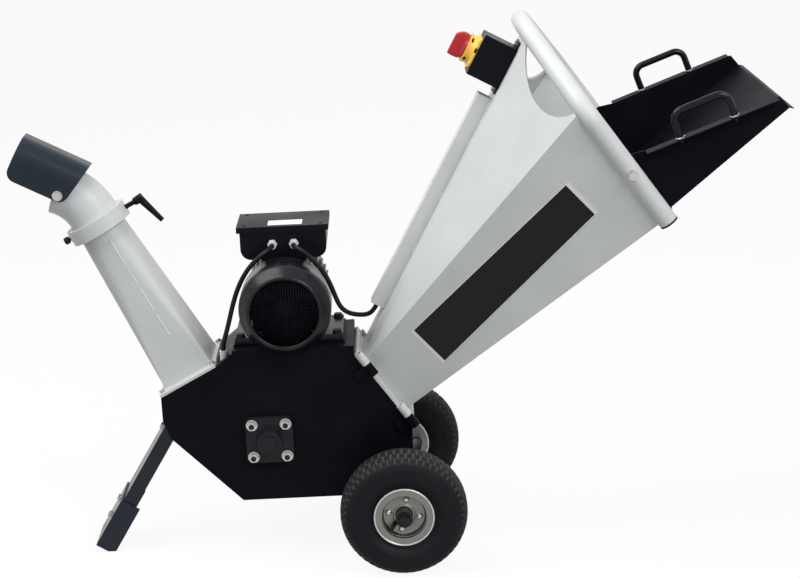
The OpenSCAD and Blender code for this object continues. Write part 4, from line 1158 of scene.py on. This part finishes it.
@dataclass
class SwitchDress(SubAssembly):
    """The yellow base and the red handle of the main switch, in the switch box's directions."""

    origin: Point = (250.42, 0.0, 994.77)
    along: Point = (0.4848, 0.0, 0.8746)
    out: Point = (-0.8746, 0.0, 0.4848)
    sides: int = 144
    base: Rows = (
        (72.1, 33.4, 9.0), (72.4, 34.0, 9.0), (77.6, 34.0, 9.0), (78.4, 33.2, 9.0),
        (78.4, 30.6, 2.6), (80.0, 29.8, 2.3), (83.0, 29.2, 2.1), (86.0, 29.2, 2.0),
        (86.3, 29.2, 2.0), (90.3, 30.2, 2.0), (90.6, 30.4, 2.0), (93.2, 31.8, 2.0),
        (93.9, 31.2, 2.0), (93.9, 6.0, 2.0))
    handle: Rows = (
        (94.1, 0.0, 25.6, 25.6, 2.0), (94.4, 0.0, 26.0, 26.0, 2.0),
        (97.4, 0.0, 26.0, 26.0, 2.0), (98.4, 0.0, 25.6, 24.4, 2.2),
        (99.0, 0.0, 26.2, 12.0, 3.2), (101.0, 0.0, 27.4, 10.0, 6.0),
        (110.0, -1.0, 27.0, 9.0, 8.0), (116.0, -2.6, 25.2, 8.2, 8.0),
        (121.6, -5.0, 22.2, 7.4, 8.0), (122.6, -5.2, 21.4, 6.6, 7.0),
        (123.0, -5.2, 19.6, 4.6, 5.0))
    slot_turns: tuple = (45.0, 135.0, 225.0, 315.0)
    slot_half: float = 0.19
    slot_span: Span = (86.2, 90.4)
    slot_depth: float = 2.6
    slot_floor: Span = (26.7, 28.0)
    slot_reach: float = 5.0
    slot_ease: float = 0.2
    notch: tuple = (1.0, 10.0, 73.2, 78.2)
    notch_depth: Span = (33.0, 34.5)

    def build(self) -> None:
        """Makes the base, dark plates in its slots as painted shade, dark notches, and the handle."""
        rows = tuple((z, 0.0, half, half, n) for z, half, n in self.base)
        base = self.piece("switch_base", self._loft(rows, True), "hopper", "yellow_plastic", False)
        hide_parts("switch_bezel")
        # The dark plates in the slots are painted shade. The dark notches stand for the black box
        # behind the base.
        slot_shade_and_notches = [self._slot(t) for t in self.slot_turns] + [self._notch(side) for side in Side]
        self.piece("switch_base_slots", joined(slot_shade_and_notches), "hopper", "black_plastic", False)
        skin = self._loft(self.handle, False)
        handle = self.piece("switch_handle", skin, "switch", "red_plastic", False)
        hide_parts("switch_knob")

    def _points(self, x: np.ndarray, y: np.ndarray, z: np.ndarray) -> np.ndarray:
        """Points in metres: origin + x along the ridge + y across + z out of the box.

        Args:
            x: Distances along the ridge, in millimetres.
            y: Distances across.
            z: Distances out of the box.

        Returns:
            An array of points.
        """
        spots = np.stack(np.broadcast_arrays(x, y, z), -1).reshape(-1, 3)
        return MM * (np.array(self.origin) + spots @ np.array([self.along, ACROSS, self.out]))

    def _loft(self, sections: Rows, slotted: bool) -> Skin:
        """Stacked superellipses: x = shift + a sign(c) |c|^(2/n), y = b sign(s) |s|^(2/n).

        Args:
            sections: Height, shift, half length a, half width b and exponent n of each section;
                c and s are the cosine and the sine of the turn.
            slotted: Whether the slots are sunk into it.

        Returns:
            Points and faces.
        """
        z, shift, a, b, n = np.array(sections).T[:, :, None]
        turn = turns(self.sides)[None]
        x, y = (np.sign(q) * np.abs(q) ** (2 / n) for q in (np.cos(turn), np.sin(turn)))
        sunk = 0.0
        if slotted:
            away = [np.angle(np.exp(1j * (turn - math.radians(t)))) for t in self.slot_turns]
            near = np.min(np.abs(away), axis=0) < self.slot_half
            low, high = self.slot_span
            sunk = np.where((z > low) & (z < high) & near, self.slot_depth, 0.0)
        points = self._points(shift + (a - sunk) * x, (b - sunk) * y, z)
        return outward(points, tube_faces(len(sections), self.sides))

    def _slot(self, turn: float) -> Skin:
        """A dark plate on the floor of one slot, painted shade for the slot's depth.

        Args:
            turn: Where the slot is, in degrees round the base.

        Returns:
            Points and faces.
        """
        c, s = math.cos(math.radians(turn)), math.sin(math.radians(turn))
        low, high = self.slot_span[0] + self.slot_ease, self.slot_span[1] - self.slot_ease
        w, z = self.slot_reach * np.array([-1, 1, 1, -1]), np.array([low, low, high, high])
        return slab(*(self._points(r * c - w * s, r * s + w * c, z) for r in self.slot_floor))

    def _notch(self, side: Side) -> Skin:
        """A dark notch in the base plate's edge, on one side.

        Args:
            side: Which side.

        Returns:
            Points and faces.
        """
        x0, x1, z0, z1 = self.notch
        x, z = np.array([x0, x1, x1, x0]), np.array([z0, z0, z1, z1])
        return slab(*(self._points(x, side.value * y, z) for y in self.notch_depth))


@dataclass
class TrayDress(SubAssembly):
    """Zinc washers at the feet of the tray's handles."""

    start: Point = (494.3, 0.0, 863.2)
    along: Point = (0.9396, 0.0, 0.3423)
    up: Point = (-0.3423, 0.0, 0.9396)
    feet: tuple = (70.0, 180.0)
    half: float = 272.0
    profile: Rows = ((9.4, 0.06), (9.4, 2.0), (8.6, 2.6), (0.3, 2.6))

    def build(self) -> None:
        """Makes the four washers: their profile turned about each leg of the handles."""
        start, along, up = (np.array(v) for v in (self.start, self.along, self.up))
        places = [MM * (start + x * along + side.value * self.half * ACROSS)
                  for side in Side for x in self.feet]
        rings = [revolve(self.profile, p, up, sides=32) for p in places]
        self.piece("handle_washers", joined(rings), "tray", "zinc", False)


@dataclass
class HousingDress(SubAssembly):
    """Dark stud ends in the bearing nuts."""

    pitch: float = 0.070
    profile: Rows = ((5.7, -0.2), (5.7, 0.3), (4.9, 0.9), (0.2, 1.0))

    def build(self) -> None:
        """Makes the stud ends of both bearings."""
        low, high = (np.array(v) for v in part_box("bearing_near"))
        ends = {Side.NEAR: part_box("bearing_bolts")[0][1], Side.FAR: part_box("bearing_bolts")[1][1]}
        x, _, z = (low + high) / 2
        half = self.pitch / 2
        for side, y in ends.items():
            places = [np.array([x + i, y, z + k]) for i in (-half, half) for k in (-half, half)]
            studs = [revolve(self.profile, p, side.value * ACROSS, sides=20) for p in places]
            self.piece(f"stud_ends_{side.name.lower()}", joined(studs), "chassis", "iron")


def main() -> None:
    """Loads the frame and dresses the machine."""
    logging.basicConfig(level=logging.INFO, format="%(message)s")
    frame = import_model()
    bpy.context.scene.view_settings.view_transform = "Standard"
    Stage().build()
    palette = Palette()
    palette.dress_nodes(frame)
    Cables(palette).build()
    for side in Side:
        Wheel(palette, side).build()
    for dress in (HopperDress, ChuteDress, MotorDress, SwitchDress, TrayDress, HousingDress):
        dress(palette).build()


if __name__ == "__main__":
    main()
